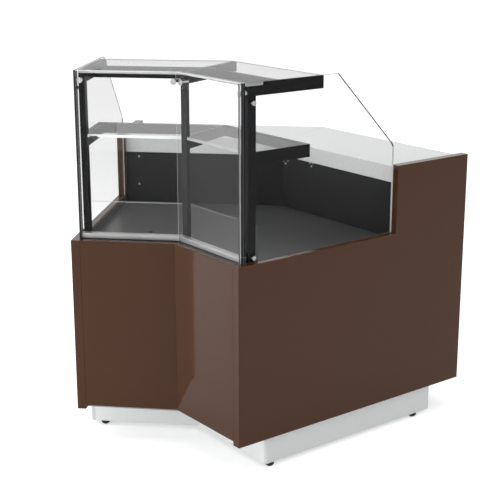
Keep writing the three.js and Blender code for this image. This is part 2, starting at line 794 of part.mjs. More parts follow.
// Doors: a leaf with a round hinge edge, pivot pins above and below, and a knob
function rearDoor(louvred) {
  const from = openingStart + runningGap;
  const bottom = openingBottom + runningGap;
  const top = openingTop - runningGap;
  const half = doorThickness / 2;
  const shape = new THREE.Shape();
  shape.moveTo(from, doorAxis.y - half);
  shape.lineTo(doorAxis.x, doorAxis.y - half);
  shape.absarc(doorAxis.x, doorAxis.y, half, -Math.PI / 2, Math.PI / 2, false);
  shape.lineTo(from, doorAxis.y + half);
  const outline = shape.getPoints(cornerSides).map((point) => [point.x, point.y]);
  const leaf = extrude(outline, top - bottom).translate(0, 0, bottom);
  const pins = [bottom, top].map(
    (z) => rod('z', doorPinRadius, 2 * doorPinLength, [doorAxis.x, doorAxis.y, z]));
  const face = doorAxis.y + half;
  const knobPlace = { x: from + knobFromEdge, z: (bottom + top) / 2 };
  const neck = rod('y', knobNeck, knobLength + overrun, [
    knobPlace.x, face + (knobLength - overrun) / 2, knobPlace.z]);
  const head = rod('y', knobRadius, knobHead, [
    knobPlace.x, face + knobLength - knobHead / 2, knobPlace.z]);
  const slots = [];
  const middleX = (from + doorAxis.x) / 2;
  for (let i = 0; louvred && i < louvreCount; i += 1) {
    const z = bottom + louvreLift + i * louvrePitch;
    slots.push(box(
      [middleX - louvreLength / 2, doorAxis.y - half - overrun, z],
      [middleX + louvreLength / 2, doorAxis.y + half + overrun, z + louvreHeight]));
  }
  return cut(join(leaf, ...pins, neck, head), ...slots);
}

addPiece(rightWing, 'rear_door_right', rearDoor(false), zincSteel);
addPiece(leftWing, 'rear_door_left', mirrored(rearDoor(true)), zincSteel);

// Control panel on the fascia: a plate with a display window, two rocker switches and a cable gland
const controlMiddle = frameTop - fasciaHeight / 2;
const controlFront = caseDepth + fitGap;
const controlEnd = controlStart + controlLength;
const switchAxis = { y: controlFront + controlThickness / 2, z: controlMiddle };
const switchPlaces = [controlEnd - switchSpacing / 2, controlEnd - switchSpacing * 3 / 2];

function controlPanel() {
  const rear = controlFront + controlThickness;
  const bottom = controlMiddle - controlHeight / 2;
  const top = controlMiddle + controlHeight / 2;
  const wellWidth = switchWidth + 2 * switchClearance;
  const wellHeight = switchHeight + 2 * switchClearance;
  const plate = box([controlStart, controlFront, bottom], [controlEnd, rear, top]);
  const window = box(
    [controlStart + switchSpacing / 2, rear - linerSheet, controlMiddle - switchWidth],
    [controlStart + 2 * switchSpacing, rear + overrun, controlMiddle + switchWidth]);
  const wells = switchPlaces.map((x) => box(
    [x - wellWidth / 2, controlFront - overrun, switchAxis.z - wellHeight / 2],
    [x + wellWidth / 2, rear + overrun, switchAxis.z + wellHeight / 2]));
  const entry = [controlStart - glandRadius, controlFront + glandLength / 2, bottom + glandRadius];
  const lug = box(
    [controlStart - 2 * glandRadius, controlFront, bottom],
    [controlStart + overrun, rear, bottom + 2 * glandRadius]);
  const gland = rod('y', glandRadius - fitGap, glandLength, entry, cornerSides);
  const nose = rod('y', glandNose, 2 * glandLength, [entry[0], controlFront + glandLength, entry[2]]);
  const outside = join(lug, gland, nose);
  return cut(join(plate, outside), window, ...wells);
}

function rockerSwitch() {
  const half = switchHeight / 2;
  const outline = [
    [-controlThickness / 2 + fitGap, -linerSheet], [-controlThickness / 2 + fitGap, linerSheet],
    [0, half], [switchDepth / 2, half], [switchDepth / 3, 0], [switchDepth / 2, -half], [0, -half],
  ];
  const rocker = alongFront(outline.reverse(), -switchWidth / 2, switchWidth / 2);
  const pinLength = switchWidth + 2 * (switchClearance - fitGap);
  const pin = rod('x', linerSheet / 2, pinLength, [0, 0, 0], cornerSides * 2);
  return join(rocker, pin);
}

addPiece(rightWing, 'control_panel', controlPanel(), blackPlastic);
[['power_switch', redPlastic], ['light_switch', greenPlastic]].forEach(([name, material], i) => {
  const rocker = addPiece(rightWing, name, rockerSwitch(), material);
  rocker.position.set(switchPlaces[i], switchAxis.y, switchAxis.z);
  rocker.rotation.x = -switchTilt;
});

// Compressor: a domed shell on a plate with rubber feet, on the pan in the left wing
const portTop = unitFloor + compressorFeet + compressorPlate / 2 + compressorHeight + portHeight;

function compressor() {
  const base = unitFloor + compressorFeet;
  const shoulder = compressorRadius / 2;
  const profile = [[0, 0], [compressorRadius - shoulder / 2, 0], [compressorRadius, shoulder / 2]];
  for (let i = 0; i <= cornerSides; i += 1) {
    const angle = (i / cornerSides) * (Math.PI / 2);
    profile.push([
      compressorRadius * Math.cos(angle), compressorHeight - shoulder + shoulder * Math.sin(angle)]);
  }
  profile[profile.length - 1][0] = 0;
  const shell = new THREE.LatheGeometry(profile.map(([x, y]) => new THREE.Vector2(x, y)), roundSides)
    .rotateX(Math.PI / 2)
    .translate(0, 0, base + compressorPlate / 2);
  const reach = compressorRadius;
  const plate = box([-reach, -reach, base], [reach, reach, base + compressorPlate]);
  const feetPlaces = [-1, 1].flatMap((x) => [-1, 1].map((y) => [x, y]));
  const pads = feetPlaces.map(([x, y]) => rod(
    'z', compressorFeet, compressorFeet + compressorPlate / 2,
    [x * (reach - compressorFeet), y * (reach - compressorFeet),
      unitFloor + (compressorFeet + compressorPlate / 2) / 2]));
  const portBase = base + compressorHeight - shoulder;
  const ports = [-1, 1].map((side) => rod(
    'z', portRadius, portTop - portBase,
    [side * portSpread, 0, (portTop + portBase) / 2], roundSides / 2));
  return join(shell, plate, ...pads, ...ports).translate(compressorReach, compressorSetback, 0);
}

addPiece(leftWing, 'compressor', mirrored(compressor()), blackPaint);

// Condenser: a finned block behind the louvred door, with a shroud round its fan
const bigFanCentre = {
  x: condenserReach + condenserWidth / 2,
  y: bigFanSetback,
  z: unitFloor + condenserHeight / 2,
};

function finnedOutline(from, width, front, rear, fins, depth) {
  const pitch = width / fins;
  const outline = [[from, front], [from + width, front]];
  for (let i = fins - 1; i >= 0; i -= 1) {
    const start = from + i * pitch + (1 - finShare) * pitch;
    outline.push([start + finShare * pitch, rear], [start, rear], [start, rear - depth]);
    if (i > 0) outline.push([from + i * pitch, rear - depth]);
  }
  outline.push([from, rear - depth]);
  return outline;
}

function condenser() {
  const block = extrude(
    finnedOutline(condenserReach, condenserWidth, condenserFront, condenserRear, finCount, finDepth),
    condenserHeight).translate(0, 0, unitFloor);
  const shroud = box(
    [condenserReach, condenserFront - shroudDepth, unitFloor],
    [condenserReach + condenserWidth, condenserFront + shroudPlate, unitFloor + condenserHeight]);
  const hollow = box(
    [condenserReach + shroudPlate, condenserFront - shroudDepth + shroudPlate, unitFloor + shroudPlate],
    [condenserReach + condenserWidth - shroudPlate, condenserFront,
      unitFloor + condenserHeight - shroudPlate]);
  const mouth = rod('y', bigFanRadius + fanGap, 2 * shroudPlate + 2 * overrun,
    [bigFanCentre.x, condenserFront - shroudDepth, bigFanCentre.z]);
  return join(cut(shroud, hollow, mouth), block);
}

addPiece(leftWing, 'condenser', mirrored(condenser()), zincSteel);

// A fan about the y axis: a hub with pitched blades, seated against its motor
function fan(radius, hub, depth) {
  const blade = box(
    [0, -depth / 2, -bladeThickness / 2],
    [radius - fanGap, depth / 2, bladeThickness / 2]).rotateX(bladePitch);
  const band = cut(
    rod('y', radius, depth, [0, 0, 0]),
    rod('y', radius - bladeThickness, depth * 2, [0, 0, 0]));
  const blades = Array.from({ length: bladeCount }, (_, i) => blade.clone().rotateY(
    (i / bladeCount) * 2 * Math.PI));
  return join(rod('y', hub, depth, [0, 0, 0]), ...blades, band);
}

// A motor about the y axis in front of its fan, on a stand
function fanMotor(radius, length, centre, fanDepth, floor) {
  const rear = centre.y - fanDepth / 2 - fitGap;
  const body = rod('y', radius, length, [centre.x, rear - length / 2, centre.z]);
  const stand = box(
    [centre.x - motorFoot, rear - length * 3 / 4, floor],
    [centre.x + motorFoot, rear - length / 4, centre.z]);
  return join(body, stand);
}

addPiece(leftWing, 'condenser_fan', mirrored(fan(bigFanRadius, bigFanHub, bigFanDepth)), blackPlastic)
  .position.set(-bigFanCentre.x, bigFanCentre.y, bigFanCentre.z);
addPiece(leftWing, 'condenser_fan_motor',
  mirrored(fanMotor(bigMotorRadius, bigMotorLength, bigFanCentre, bigFanDepth, unitFloor)), blackPaint);

// Evaporator and its fan, on the liner's floor under the deck of the right wing
const coilFloor = wellFloor + fitGap;
const smallFanCentre = {
  x: coilReach + coilWidth / 2,
  y: coilSetback - 2 * smallFanDepth,
  z: coilFloor + coilHeight / 2 + fanGap,
};

function evaporator() {
  return extrude(
    finnedOutline(coilReach, coilWidth, coilSetback, coilSetback + coilDepth, finCount, finDepth),
    coilHeight).translate(0, 0, coilFloor);
}

addPiece(rightWing, 'evaporator', evaporator(), aluminium);
addPiece(rightWing, 'evaporator_fan', fan(smallFanRadius, smallFanHub, smallFanDepth), blackPlastic)
  .position.set(smallFanCentre.x, smallFanCentre.y, smallFanCentre.z);
addPiece(rightWing, 'evaporator_fan_motor',
  fanMotor(smallMotorRadius, smallMotorLength, smallFanCentre, smallFanDepth, coilFloor), blackPaint);

// Copper lines: compressor to condenser, condenser to evaporator, and evaporator back. A clip
// ties the first two and another ties the last two, so that they make one assembly.
const turnAxis = new THREE.Vector3(0, 0, 1);
const leftPoint = (x, y, z) => new THREE.Vector3(-x, y, z).applyAxisAngle(turnAxis, wingTurn);
const rightPoint = (x, y, z) => new THREE.Vector3(x, y, z).applyAxisAngle(turnAxis, -wingTurn);
const pipeBend = 6 * pipeRadius;
const pipeSpacing = pipeRadius + fanGap; // half of the distance between two lines in a clip

function pipe(points) {
  const path = new THREE.CatmullRomCurve3(points, false, 'centripetal');
  const ring = Array.from({ length: pipeSides }, (_, i) => {
    const angle = (i / pipeSides) * 2 * Math.PI;
    return new THREE.Vector2(pipeRadius * Math.cos(angle), pipeRadius * Math.sin(angle));
  });
  return new THREE.ExtrudeGeometry(new THREE.Shape(ring), {
    extrudePath: path, steps: pipeSteps, bevelEnabled: false,
  });
}

function pipework() {
  const condenserTop = unitFloor + condenserHeight + fitGap;
  const high = (condenserTop + foamBottom) / 2;
  const condenserLine = condenserFront + 2 * pipeRadius;
  const out = compressorReach + portSpread;
  const back = compressorReach - portSpread;
  const clipDepth = compressorSetback + 4 * pipeBend;
  const clipHeight = foamBottom - pipeBend / 2;
  const coilEnd = coilReach - fitGap;
  const coilMiddle = coilFloor + coilHeight / 2;
  const near = pipeHole.x + pipeSpacing;
  const far = pipeHole.x - pipeSpacing;
  const beside = out - 2 * pipeSpacing;
  const discharge = [
    leftPoint(out, compressorSetback, portTop + fitGap),
    leftPoint(out, compressorSetback, portTop + pipeBend),
    leftPoint(out, compressorSetback + 2 * pipeBend, high),
    leftPoint(out, clipDepth, high),
    leftPoint(out, condenserFront - pipeBend, high + pipeRadius),
    leftPoint(out, condenserLine, high),
    leftPoint(out, condenserLine, condenserTop),
  ];
  const liquid = [
    leftPoint(beside, condenserLine, condenserTop),
    leftPoint(beside, condenserLine, high),
    leftPoint(beside, condenserFront - pipeBend, high + pipeRadius),
    leftPoint(beside, clipDepth, high),
    leftPoint(beside - pipeBend / 2, compressorSetback + 2 * pipeBend, high),
    rightPoint(pipeHole.x - 4 * pipeRadius, pipeHole.y + 3 * pipeBend, high),
    rightPoint(near, pipeHole.y + pipeBend / 2, high + pipeBend / 2),
    rightPoint(near, pipeHole.y, clipHeight),
    rightPoint(near, pipeHole.y, foamTop),
    rightPoint(near + pipeRadius, pipeHole.y, coilMiddle - pipeBend),
    rightPoint(coilEnd, pipeHole.y, coilMiddle - pipeBend),
  ];
  const suction = [
    rightPoint(coilEnd, pipeHole.y, coilMiddle + pipeBend),
    rightPoint(far + 2 * pipeRadius, pipeHole.y, coilMiddle + pipeBend),
    rightPoint(far, pipeHole.y, coilMiddle),
    rightPoint(far, pipeHole.y, foamTop),
    rightPoint(far, pipeHole.y, clipHeight),
    rightPoint(far - pipeBend, pipeHole.y, high),
    leftPoint(back, compressorSetback, portTop + pipeBend),
    leftPoint(back, compressorSetback, portTop + fitGap),
  ];
  const topClip = box(
    [beside, clipDepth - pipeRadius, high - clipHalf],
    [out, clipDepth + pipeRadius, high + clipHalf]);
  const riserClip = box(
    [far, pipeHole.y - clipHalf, clipHeight - pipeRadius],
    [near, pipeHole.y + clipHalf, clipHeight + pipeRadius]);
  return join(
    ...[discharge, liquid, suction].map(pipe),
    mirrored(topClip).rotateZ(wingTurn), riserClip.rotateZ(-wingTurn));
}

addPiece(middle, 'pipework', pipework(), copper);

// Tray that catches the drained water, under the spout
function drainTray() {
  const { x, y } = drainHole;
  const outer = box(
    [x - trayWidth / 2, y - trayDepth / 2, unitFloor],
    [x + trayWidth / 2, y + trayDepth / 2, unitFloor + trayHeight]);
  const hollow = box(
    [x - trayWidth / 2 + trayWall, y - trayDepth / 2 + trayWall, unitFloor + trayWall],
    [x + trayWidth / 2 - trayWall, y + trayDepth / 2 - trayWall, unitFloor + trayHeight + overrun]);
  return cut(outer, hollow);
}

addPiece(rightWing, 'drain_tray', drainTray(), blackPlastic);

export default displayCase;
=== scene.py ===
import math
import bpy
from mathutils import Matrix, Vector


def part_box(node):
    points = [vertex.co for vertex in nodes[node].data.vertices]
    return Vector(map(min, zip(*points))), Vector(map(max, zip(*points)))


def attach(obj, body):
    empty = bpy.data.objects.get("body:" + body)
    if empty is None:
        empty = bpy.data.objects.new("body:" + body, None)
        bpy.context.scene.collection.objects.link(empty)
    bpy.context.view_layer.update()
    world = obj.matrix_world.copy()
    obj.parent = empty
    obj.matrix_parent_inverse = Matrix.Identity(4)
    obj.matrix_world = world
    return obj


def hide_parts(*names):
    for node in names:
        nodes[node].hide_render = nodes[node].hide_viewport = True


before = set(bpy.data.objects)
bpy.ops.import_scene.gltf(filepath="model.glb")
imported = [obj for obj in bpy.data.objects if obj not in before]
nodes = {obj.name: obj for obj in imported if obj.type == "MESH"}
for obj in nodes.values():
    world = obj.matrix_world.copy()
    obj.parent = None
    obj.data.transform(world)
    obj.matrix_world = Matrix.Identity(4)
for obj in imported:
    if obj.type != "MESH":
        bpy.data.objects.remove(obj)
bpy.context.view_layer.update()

# the case in millimetres and its wings' turn in degrees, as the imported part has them
caseSize = {"wingTurn": 22.5, "wingLength": 347, "depth": 1000}
turn = math.radians(caseSize["wingTurn"])
frontMost = -caseSize["wingLength"] * math.sin(turn)
rearMost = caseSize["depth"] / math.cos(turn)
cornerY = -(frontMost + rearMost) / 2

# how shapes are finished: metres for the distance, degrees for the angles, and the least upward
# part of a normal that makes a face an upper one
finish = {
    "smoothMargin": 10,
    "roundSmooth": 35,
    "weldDistance": 0.00002,
    "flatAngle": 0.5,
    "faceUp": 0.9,
}


def mm(*values):
    return tuple(value / 1000 for value in values)


def camelName(nodeName):
    first, *rest = nodeName.split("_")
    return first + "".join(word.capitalize() for word in rest)


def clearSelection():
    if bpy.context.object and bpy.context.object.mode != "OBJECT":
        bpy.ops.object.mode_set(mode="OBJECT")
    bpy.ops.object.select_all(action="DESELECT")
    bpy.context.view_layer.objects.active = None


def pick(piece):
    clearSelection()
    piece.select_set(True)
    bpy.context.view_layer.objects.active = piece


def applyAll(piece):
    pick(piece)
    for modifier in list(piece.modifiers):
        bpy.ops.object.modifier_apply(modifier=modifier.name)
    bpy.ops.object.transform_apply(location=True, rotation=True, scale=True)


def bevelEdges(piece, width, segments, angle=30):
    # width in millimetres, on the edges sharper than the angle
    pick(piece)
    bpy.ops.object.shade_flat()
    bevel = piece.modifiers.new("softEdges", "BEVEL")
    bevel.width = width / 1000
    bevel.segments = segments
    bevel.limit_method = "ANGLE"
    bevel.angle_limit = math.radians(angle)
    bevel.use_clamp_overlap = True
    bpy.ops.object.modifier_apply(modifier=bevel.name)
    if segments > 1:
        smoothTo = math.radians(angle + finish["smoothMargin"])
        bpy.ops.object.shade_smooth_by_angle(angle=smoothTo)
        weigh = piece.modifiers.new("flatFaces", "WEIGHTED_NORMAL")
        weigh.keep_sharp = True
        bpy.ops.object.modifier_apply(modifier=weigh.name)


def joinPieces(pieces, name):
    clearSelection()
    for piece in pieces:
        piece.select_set(True)
    bpy.context.view_layer.objects.active = pieces[0]
    if len(pieces) > 1:
        bpy.ops.object.join()
    whole = bpy.context.object
    whole.name = name
    whole.data.name = name
    return whole


def copyOf(piece, name):
    twin = piece.copy()
    twin.data = piece.data.copy()
    twin.name = name
    twin.data.name = name
    bpy.context.collection.objects.link(twin)
    return twin


def mirrorPiece(piece):
    piece.data.transform(Matrix.Scale(-1, 4, (1, 0, 0)))
    pick(piece)
    bpy.ops.object.mode_set(mode="EDIT")
    bpy.ops.mesh.select_all(action="SELECT")
    bpy.ops.mesh.flip_normals()
    bpy.ops.object.mode_set(mode="OBJECT")
    return piece


def intoWing(piece, wing):
    # from the right wing's own frame to the case's frame
    if wing == "left":
        mirrorPiece(piece)
    angle = -turn if wing == "right" else turn
    place = Matrix.Translation((0, cornerY / 1000, 0)) @ Matrix.Rotation(angle, 4, "Z")
    piece.data.transform(place)
    piece.data.update()
    return piece


def intoMiddle(piece):
    piece.data.transform(Matrix.Translation((0, cornerY / 1000, 0)))
    piece.data.update()
    return piece


def block(low, high, name):
    clearSelection()
    middle = [(a + b) / 2 for a, b in zip(low, high)]
    bpy.ops.mesh.primitive_cube_add(size=1, location=mm(*middle))
    piece = bpy.context.object
    piece.name = name
    piece.scale = [(b - a) / 1000 for a, b in zip(low, high)]
    applyAll(piece)
    return piece


def selectFaces(piece, wanted):
    # into edit mode with the faces that a test picks
    pick(piece)
    bpy.ops.object.mode_set(mode="EDIT")
    bpy.ops.mesh.select_mode(type="FACE")
    bpy.ops.mesh.select_all(action="DESELECT")
    bpy.ops.object.mode_set(mode="OBJECT")
    for face in piece.data.polygons:
        face.select = wanted(face)
    bpy.ops.object.mode_set(mode="EDIT")


def turned(name, rings, axis, centre, sides=48, smoothAngle=finish["roundSmooth"]):
    # a round piece drawn up ring by ring: each ring is a radius and a height along its axis
    clearSelection()
    firstRadius, firstHeight = rings[0]
    bpy.ops.mesh.primitive_circle_add(
        vertices=sides, radius=firstRadius / 1000, fill_type="NGON",
        location=(0, 0, firstHeight / 1000))
    piece = bpy.context.object
    piece.name = name
    piece.data.name = name
    bpy.ops.object.mode_set(mode="EDIT")
    bpy.ops.mesh.select_all(action="SELECT")
    for (radius, height), (nextRadius, nextHeight) in zip(rings, rings[1:]):
        rise = (nextHeight - height) / 1000
        grow = nextRadius / radius
        bpy.ops.mesh.extrude_region_move(TRANSFORM_OT_translate={"value": (0, 0, rise)})
        bpy.ops.transform.resize(value=(grow, grow, 1))
    bpy.ops.mesh.select_all(action="SELECT")
    bpy.ops.mesh.normals_make_consistent(inside=False)
    bpy.ops.object.mode_set(mode="OBJECT")
    applyAll(piece)
    bpy.ops.object.shade_smooth_by_angle(angle=math.radians(smoothAngle))
    turns = {
        "x": Matrix.Rotation(math.radians(90), 4, "Y"),
        "y": Matrix.Rotation(math.radians(-90), 4, "X"),
        "-y": Matrix.Rotation(math.radians(90), 4, "X"),
        "z": Matrix.Identity(4),
    }
    piece.data.transform(Matrix.Translation(mm(*centre)) @ turns[axis])
    return piece


def movedCopy(piece, name, *shift):
    twin = copyOf(piece, name)
    twin.data.transform(Matrix.Translation(mm(*shift)))
    return twin


def mitreCut(piece, gap=0.15):
    # cuts a piece of the right wing back to a gap from the plane through the inside corner
    across = Vector((math.cos(turn), math.sin(turn), 0))
    selectFaces(piece, lambda face: True)
    bpy.ops.mesh.bisect(
        plane_co=across * gap / 1000, plane_no=across, use_fill=True, clear_inner=True)
    bpy.ops.object.mode_set(mode="OBJECT")
    return piece


def cleanCopy(nodeName, pieceName):
    # a node's shape as one merged mesh with plain flat faces
    source = nodes[nodeName]
    piece = source.copy()
    piece.data = source.data.copy()
    for key in list(piece.keys()):
        del piece[key]
    piece.name = pieceName
    piece.data.name = pieceName
    piece.parent = None
    bpy.context.collection.objects.link(piece)
    pick(piece)
    if piece.data.has_custom_normals:
        bpy.ops.mesh.customdata_custom_splitnormals_clear()
    bpy.ops.object.mode_set(mode="EDIT")
    bpy.ops.mesh.select_all(action="SELECT")
    bpy.ops.mesh.remove_doubles(threshold=finish["weldDistance"])
    bpy.ops.mesh.dissolve_limited(angle_limit=math.radians(finish["flatAngle"]))
    bpy.ops.object.mode_set(mode="OBJECT")
    return piece


def setMaterial(piece, material):
    piece.data.materials.clear()
    piece.data.materials.append(material)


def finishPiece(piece, body, slotName, material, *replacedNodes):
    setMaterial(piece, material)
    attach(piece, body)
    if replacedNodes:
        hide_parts(*replacedNodes)
    return piece


# materials
def newMaterial(name, colour, roughness, metallic=0.0, gloss=0.5):
    # gloss scales how much a plain surface mirrors, 0.5 being common plastic or glass
    material = bpy.data.materials.new(name)
    material.use_nodes = True
    shader = material.node_tree.nodes["Principled BSDF"]
    shader.inputs["Base Color"].default_value = (*colour, 1)
    shader.inputs["Roughness"].default_value = roughness
    shader.inputs["Metallic"].default_value = metallic
    shader.inputs["Specular IOR Level"].default_value = gloss
    return material


def linearOf(*rgb):
    # screen values of 0 to 255 as the linear values that a shader takes
    shares = [value / 255 for value in rgb]
    return tuple(s / 12.92 if s <= 0.04045 else ((s + 0.055) / 1.055) ** 2.4 for s in shares)


# where a noise's ramp starts and ends, its detail, and its height in metres
grain = {"rampFrom": 0.3, "rampTo": 0.7, "detail": 4, "height": 0.0004}


def addGrain(material, scale, colourSpread, roughSpread, bump, stretch=(1, 1, 1)):
    # colour, roughness and height vary with a noise in object space
    tree = material.node_tree
    shader = tree.nodes["Principled BSDF"]
    place = tree.nodes.new("ShaderNodeTexCoord")
    mapping = tree.nodes.new("ShaderNodeMapping")
    mapping.inputs["Scale"].default_value = stretch
    noise = tree.nodes.new("ShaderNodeTexNoise")
    noise.inputs["Scale"].default_value = scale
    noise.inputs["Detail"].default_value = grain["detail"]
    tree.links.new(place.outputs["Object"], mapping.inputs["Vector"])
    tree.links.new(mapping.outputs["Vector"], noise.inputs["Vector"])
    base = shader.inputs["Base Color"].default_value[:3]
    ramp = tree.nodes.new("ShaderNodeValToRGB")
    darkEnd, paleEnd = ramp.color_ramp.elements
    darkEnd.position = grain["rampFrom"]
    paleEnd.position = grain["rampTo"]
    darkEnd.color = (*[max(0, c * (1 - colourSpread)) for c in base], 1)
    paleEnd.color = (*[min(1, c * (1 + colourSpread)) for c in base], 1)
    tree.links.new(noise.outputs["Fac"], ramp.inputs["Fac"])
    tree.links.new(ramp.outputs["Color"], shader.inputs["Base Color"])
    rough = shader.inputs["Roughness"].default_value
    spread = tree.nodes.new("ShaderNodeMapRange")
    spread.inputs["To Min"].default_value = max(0, rough - roughSpread)
    spread.inputs["To Max"].default_value = min(1, rough + roughSpread)
    tree.links.new(noise.outputs["Fac"], spread.inputs["Value"])
    tree.links.new(spread.outputs["Result"], shader.inputs["Roughness"])
    if bump:
        height = tree.nodes.new("ShaderNodeBump")
        height.inputs["Strength"].default_value = bump
        height.inputs["Distance"].default_value = grain["height"]
        tree.links.new(noise.outputs["Fac"], height.inputs["Height"])
        tree.links.new(height.outputs["Normal"], shader.inputs["Normal"])
    return material


def brownLacquer():
    material = newMaterial("brownLacquer", linearOf(70, 42, 23), roughness=0.07, gloss=0.24)
    return addGrain(material, scale=40, colourSpread=0.01, roughSpread=0.015, bump=0)


def paleSheet(name="paleSheet", shade=216):
    colour = linearOf(shade - 2, shade + 1, shade)
    material = newMaterial(name, colour, roughness=0.45, gloss=0.3)
    return addGrain(
        material, scale=60, colourSpread=0.015, roughSpread=0.05, bump=0.02, stretch=(1, 1, 12))


def blackPaint(name="blackPaint", shade=27, gloss=0.05):
    material = newMaterial(name, linearOf(shade, shade, shade + 1), roughness=0.3, gloss=gloss)
    return addGrain(material, scale=40, colourSpread=0.01, roughSpread=0.02, bump=0)


def deckPaint():
    material = newMaterial("deckPaint", linearOf(61, 61, 61), roughness=0.3, gloss=0.2)
    return addGrain(material, scale=40, colourSpread=0.015, roughSpread=0.03, bump=0)


def clearGlass(name, tint, bend, glow=0):
    # the glow stands in for the even reflection of a bright room
    material = newMaterial(name, tint, roughness=0.0)
    shader = material.node_tree.nodes["Principled BSDF"]
    shader.inputs["Transmission Weight"].default_value = 1
    shader.inputs["IOR"].default_value = bend
    shader.inputs["Emission Color"].default_value = (1, 1, 1, 1)
    shader.inputs["Emission Strength"].default_value = glow
    return material


def rimWithPaintedLight(name, colour, inside=None):
    # the ground rim of a pane, in a colour painted paler or darker by how light falls on that rim
    # (painted light and shade); the inside colour is a painted reflection: the rim can look dark
    # from inside the glass, where a real one mirrors
    material = newMaterial(name, linearOf(*colour), roughness=0.5, gloss=0.2)
    addGrain(material, scale=200, colourSpread=0.03, roughSpread=0.05, bump=0)
    if inside:
        tree = material.node_tree
        shader = tree.nodes["Principled BSDF"]
        sides = tree.nodes.new("ShaderNodeNewGeometry")
        choose = tree.nodes.new("ShaderNodeMix")
        choose.data_type = "RGBA"
        outer = shader.inputs["Base Color"].links[0].from_socket
        tree.links.new(sides.outputs["Backfacing"], choose.inputs["Factor"])
        tree.links.new(outer, choose.inputs["A"])
        choose.inputs["B"].default_value = (*linearOf(*inside), 1)
        tree.links.new(choose.outputs["Result"], shader.inputs["Base Color"])
    return material


def anodised():
    material = newMaterial("anodised", linearOf(170, 170, 170), roughness=0.36, metallic=0.85)
    return addGrain(
        material, scale=90, colourSpread=0.04, roughSpread=0.05, bump=0.03, stretch=(30, 30, 1))


# the stone's two shades, its clouds and its speckles
stoneLook = {
    "dark": (195, 196, 196), "pale": (205, 206, 206), "cloudScale": 160, "cloudDetail": 2,
    "speckleScale": 300, "speckleShare": 0.02}


def paleStone():
    material = newMaterial("paleStone", linearOf(200, 201, 201), roughness=0.4, gloss=0.3)
    tree = material.node_tree
    shader = tree.nodes["Principled BSDF"]
    place = tree.nodes.new("ShaderNodeTexCoord")
    speckle = tree.nodes.new("ShaderNodeTexVoronoi")
    speckle.inputs["Scale"].default_value = stoneLook["speckleScale"]
    cloud = tree.nodes.new("ShaderNodeTexNoise")
    cloud.inputs["Scale"].default_value = stoneLook["cloudScale"]
    cloud.inputs["Detail"].default_value = stoneLook["cloudDetail"]
    ramp = tree.nodes.new("ShaderNodeValToRGB")
    darkEnd, paleEnd = ramp.color_ramp.elements
    darkEnd.position = grain["rampFrom"]
    darkEnd.color = (*linearOf(*stoneLook["dark"]), 1)
    paleEnd.position = grain["rampTo"]
    paleEnd.color = (*linearOf(*stoneLook["pale"]), 1)
    blend = tree.nodes.new("ShaderNodeMix")
    blend.data_type = "RGBA"
    blend.inputs["Factor"].default_value = stoneLook["speckleShare"]
    tree.links.new(place.outputs["Object"], speckle.inputs["Vector"])
    tree.links.new(place.outputs["Object"], cloud.inputs["Vector"])
    tree.links.new(cloud.outputs["Fac"], ramp.inputs["Fac"])
    tree.links.new(ramp.outputs["Color"], blend.inputs["A"])
    tree.links.new(speckle.outputs["Color"], blend.inputs["B"])
    tree.links.new(blend.outputs["Result"], shader.inputs["Base Color"])
    return material


def zincSheet():
    material = newMaterial("zincSheet", linearOf(160, 163, 165), roughness=0.42, metallic=0.8)
    return addGrain(material, scale=35, colourSpread=0.06, roughSpread=0.08, bump=0.03)


def copperTube():
    material = newMaterial("copperTube", linearOf(184, 112, 72), roughness=0.3, metallic=1.0)
    return addGrain(material, scale=120, colourSpread=0.06, roughSpread=0.1, bump=0.03)


def darkRubber():
    material = newMaterial("darkRubber", linearOf(26, 26, 26), roughness=0.75)
    return addGrain(material, scale=800, colourSpread=0.1, roughSpread=0.08, bump=0.15)


def mouldedPlastic(name, colour, roughness=0.45):
    material = newMaterial(name, linearOf(*colour), roughness)
    return addGrain(material, scale=1500, colourSpread=0.05, roughSpread=0.05, bump=0.12)


def satinSteel():
    material = newMaterial("satinSteel", linearOf(184, 184, 185), roughness=0.3, metallic=1.0)
    return addGrain(material, scale=300, colourSpread=0.06, roughSpread=0.08, bump=0.02)


def rigidFoam():
    material = newMaterial("rigidFoam", linearOf(222, 208, 160), roughness=0.9)
    return addGrain(material, scale=500, colourSpread=0.08, roughSpread=0.05, bump=0.3)


# how glass is tinted and bends light: less than real glass bends it, which keeps the panes clear
glassLook = {
    "pane": (0.985, 0.988, 0.986), "end": (0.972, 0.975, 0.973), "greyEnd": (0.77, 0.772, 0.771),
    "shelf": (0.69, 0.695, 0.69), "bend": 1.05, "middleShelfBend": 1.1}


brown = brownLacquer()
pale = paleSheet()
# painted light: the plinth front gets a paler copy of the plinth's one pale sheet, for the light it
# lacks in the shade under the overhanging panels
paleSheetLitCopy = paleSheet("paleSheetFront", shade=238)
black = blackPaint()
wallBlack = blackPaint("wallPaint", shade=42, gloss=0.1)
deckGrey = deckPaint()
leftGlass = clearGlass("leftPaneGlass", glassLook["pane"], glassLook["bend"], glow=0.004)
rightGlass = clearGlass("rightPaneGlass", glassLook["pane"], glassLook["bend"], glow=0.018)
lowLeftGlass = clearGlass("lowLeftGlass", glassLook["pane"], glassLook["bend"], glow=0.011)
lowRightGlass = clearGlass("lowRightGlass", glassLook["pane"], glassLook["bend"], glow=0.017)
endGlass = clearGlass("endPaneGlass", glassLook["end"], glassLook["bend"])
# painted shade: the left end pane gets a darker copy of the same end glass
endGlassPaintedDarker = clearGlass("greyPaneGlass", glassLook["greyEnd"], glassLook["bend"])
topShelfGlass = clearGlass("topShelfGlass", glassLook["shelf"], glassLook["bend"])
middleShelfGlass = clearGlass(
    "middleShelfGlass", glassLook["shelf"], glassLook["middleShelfBend"])
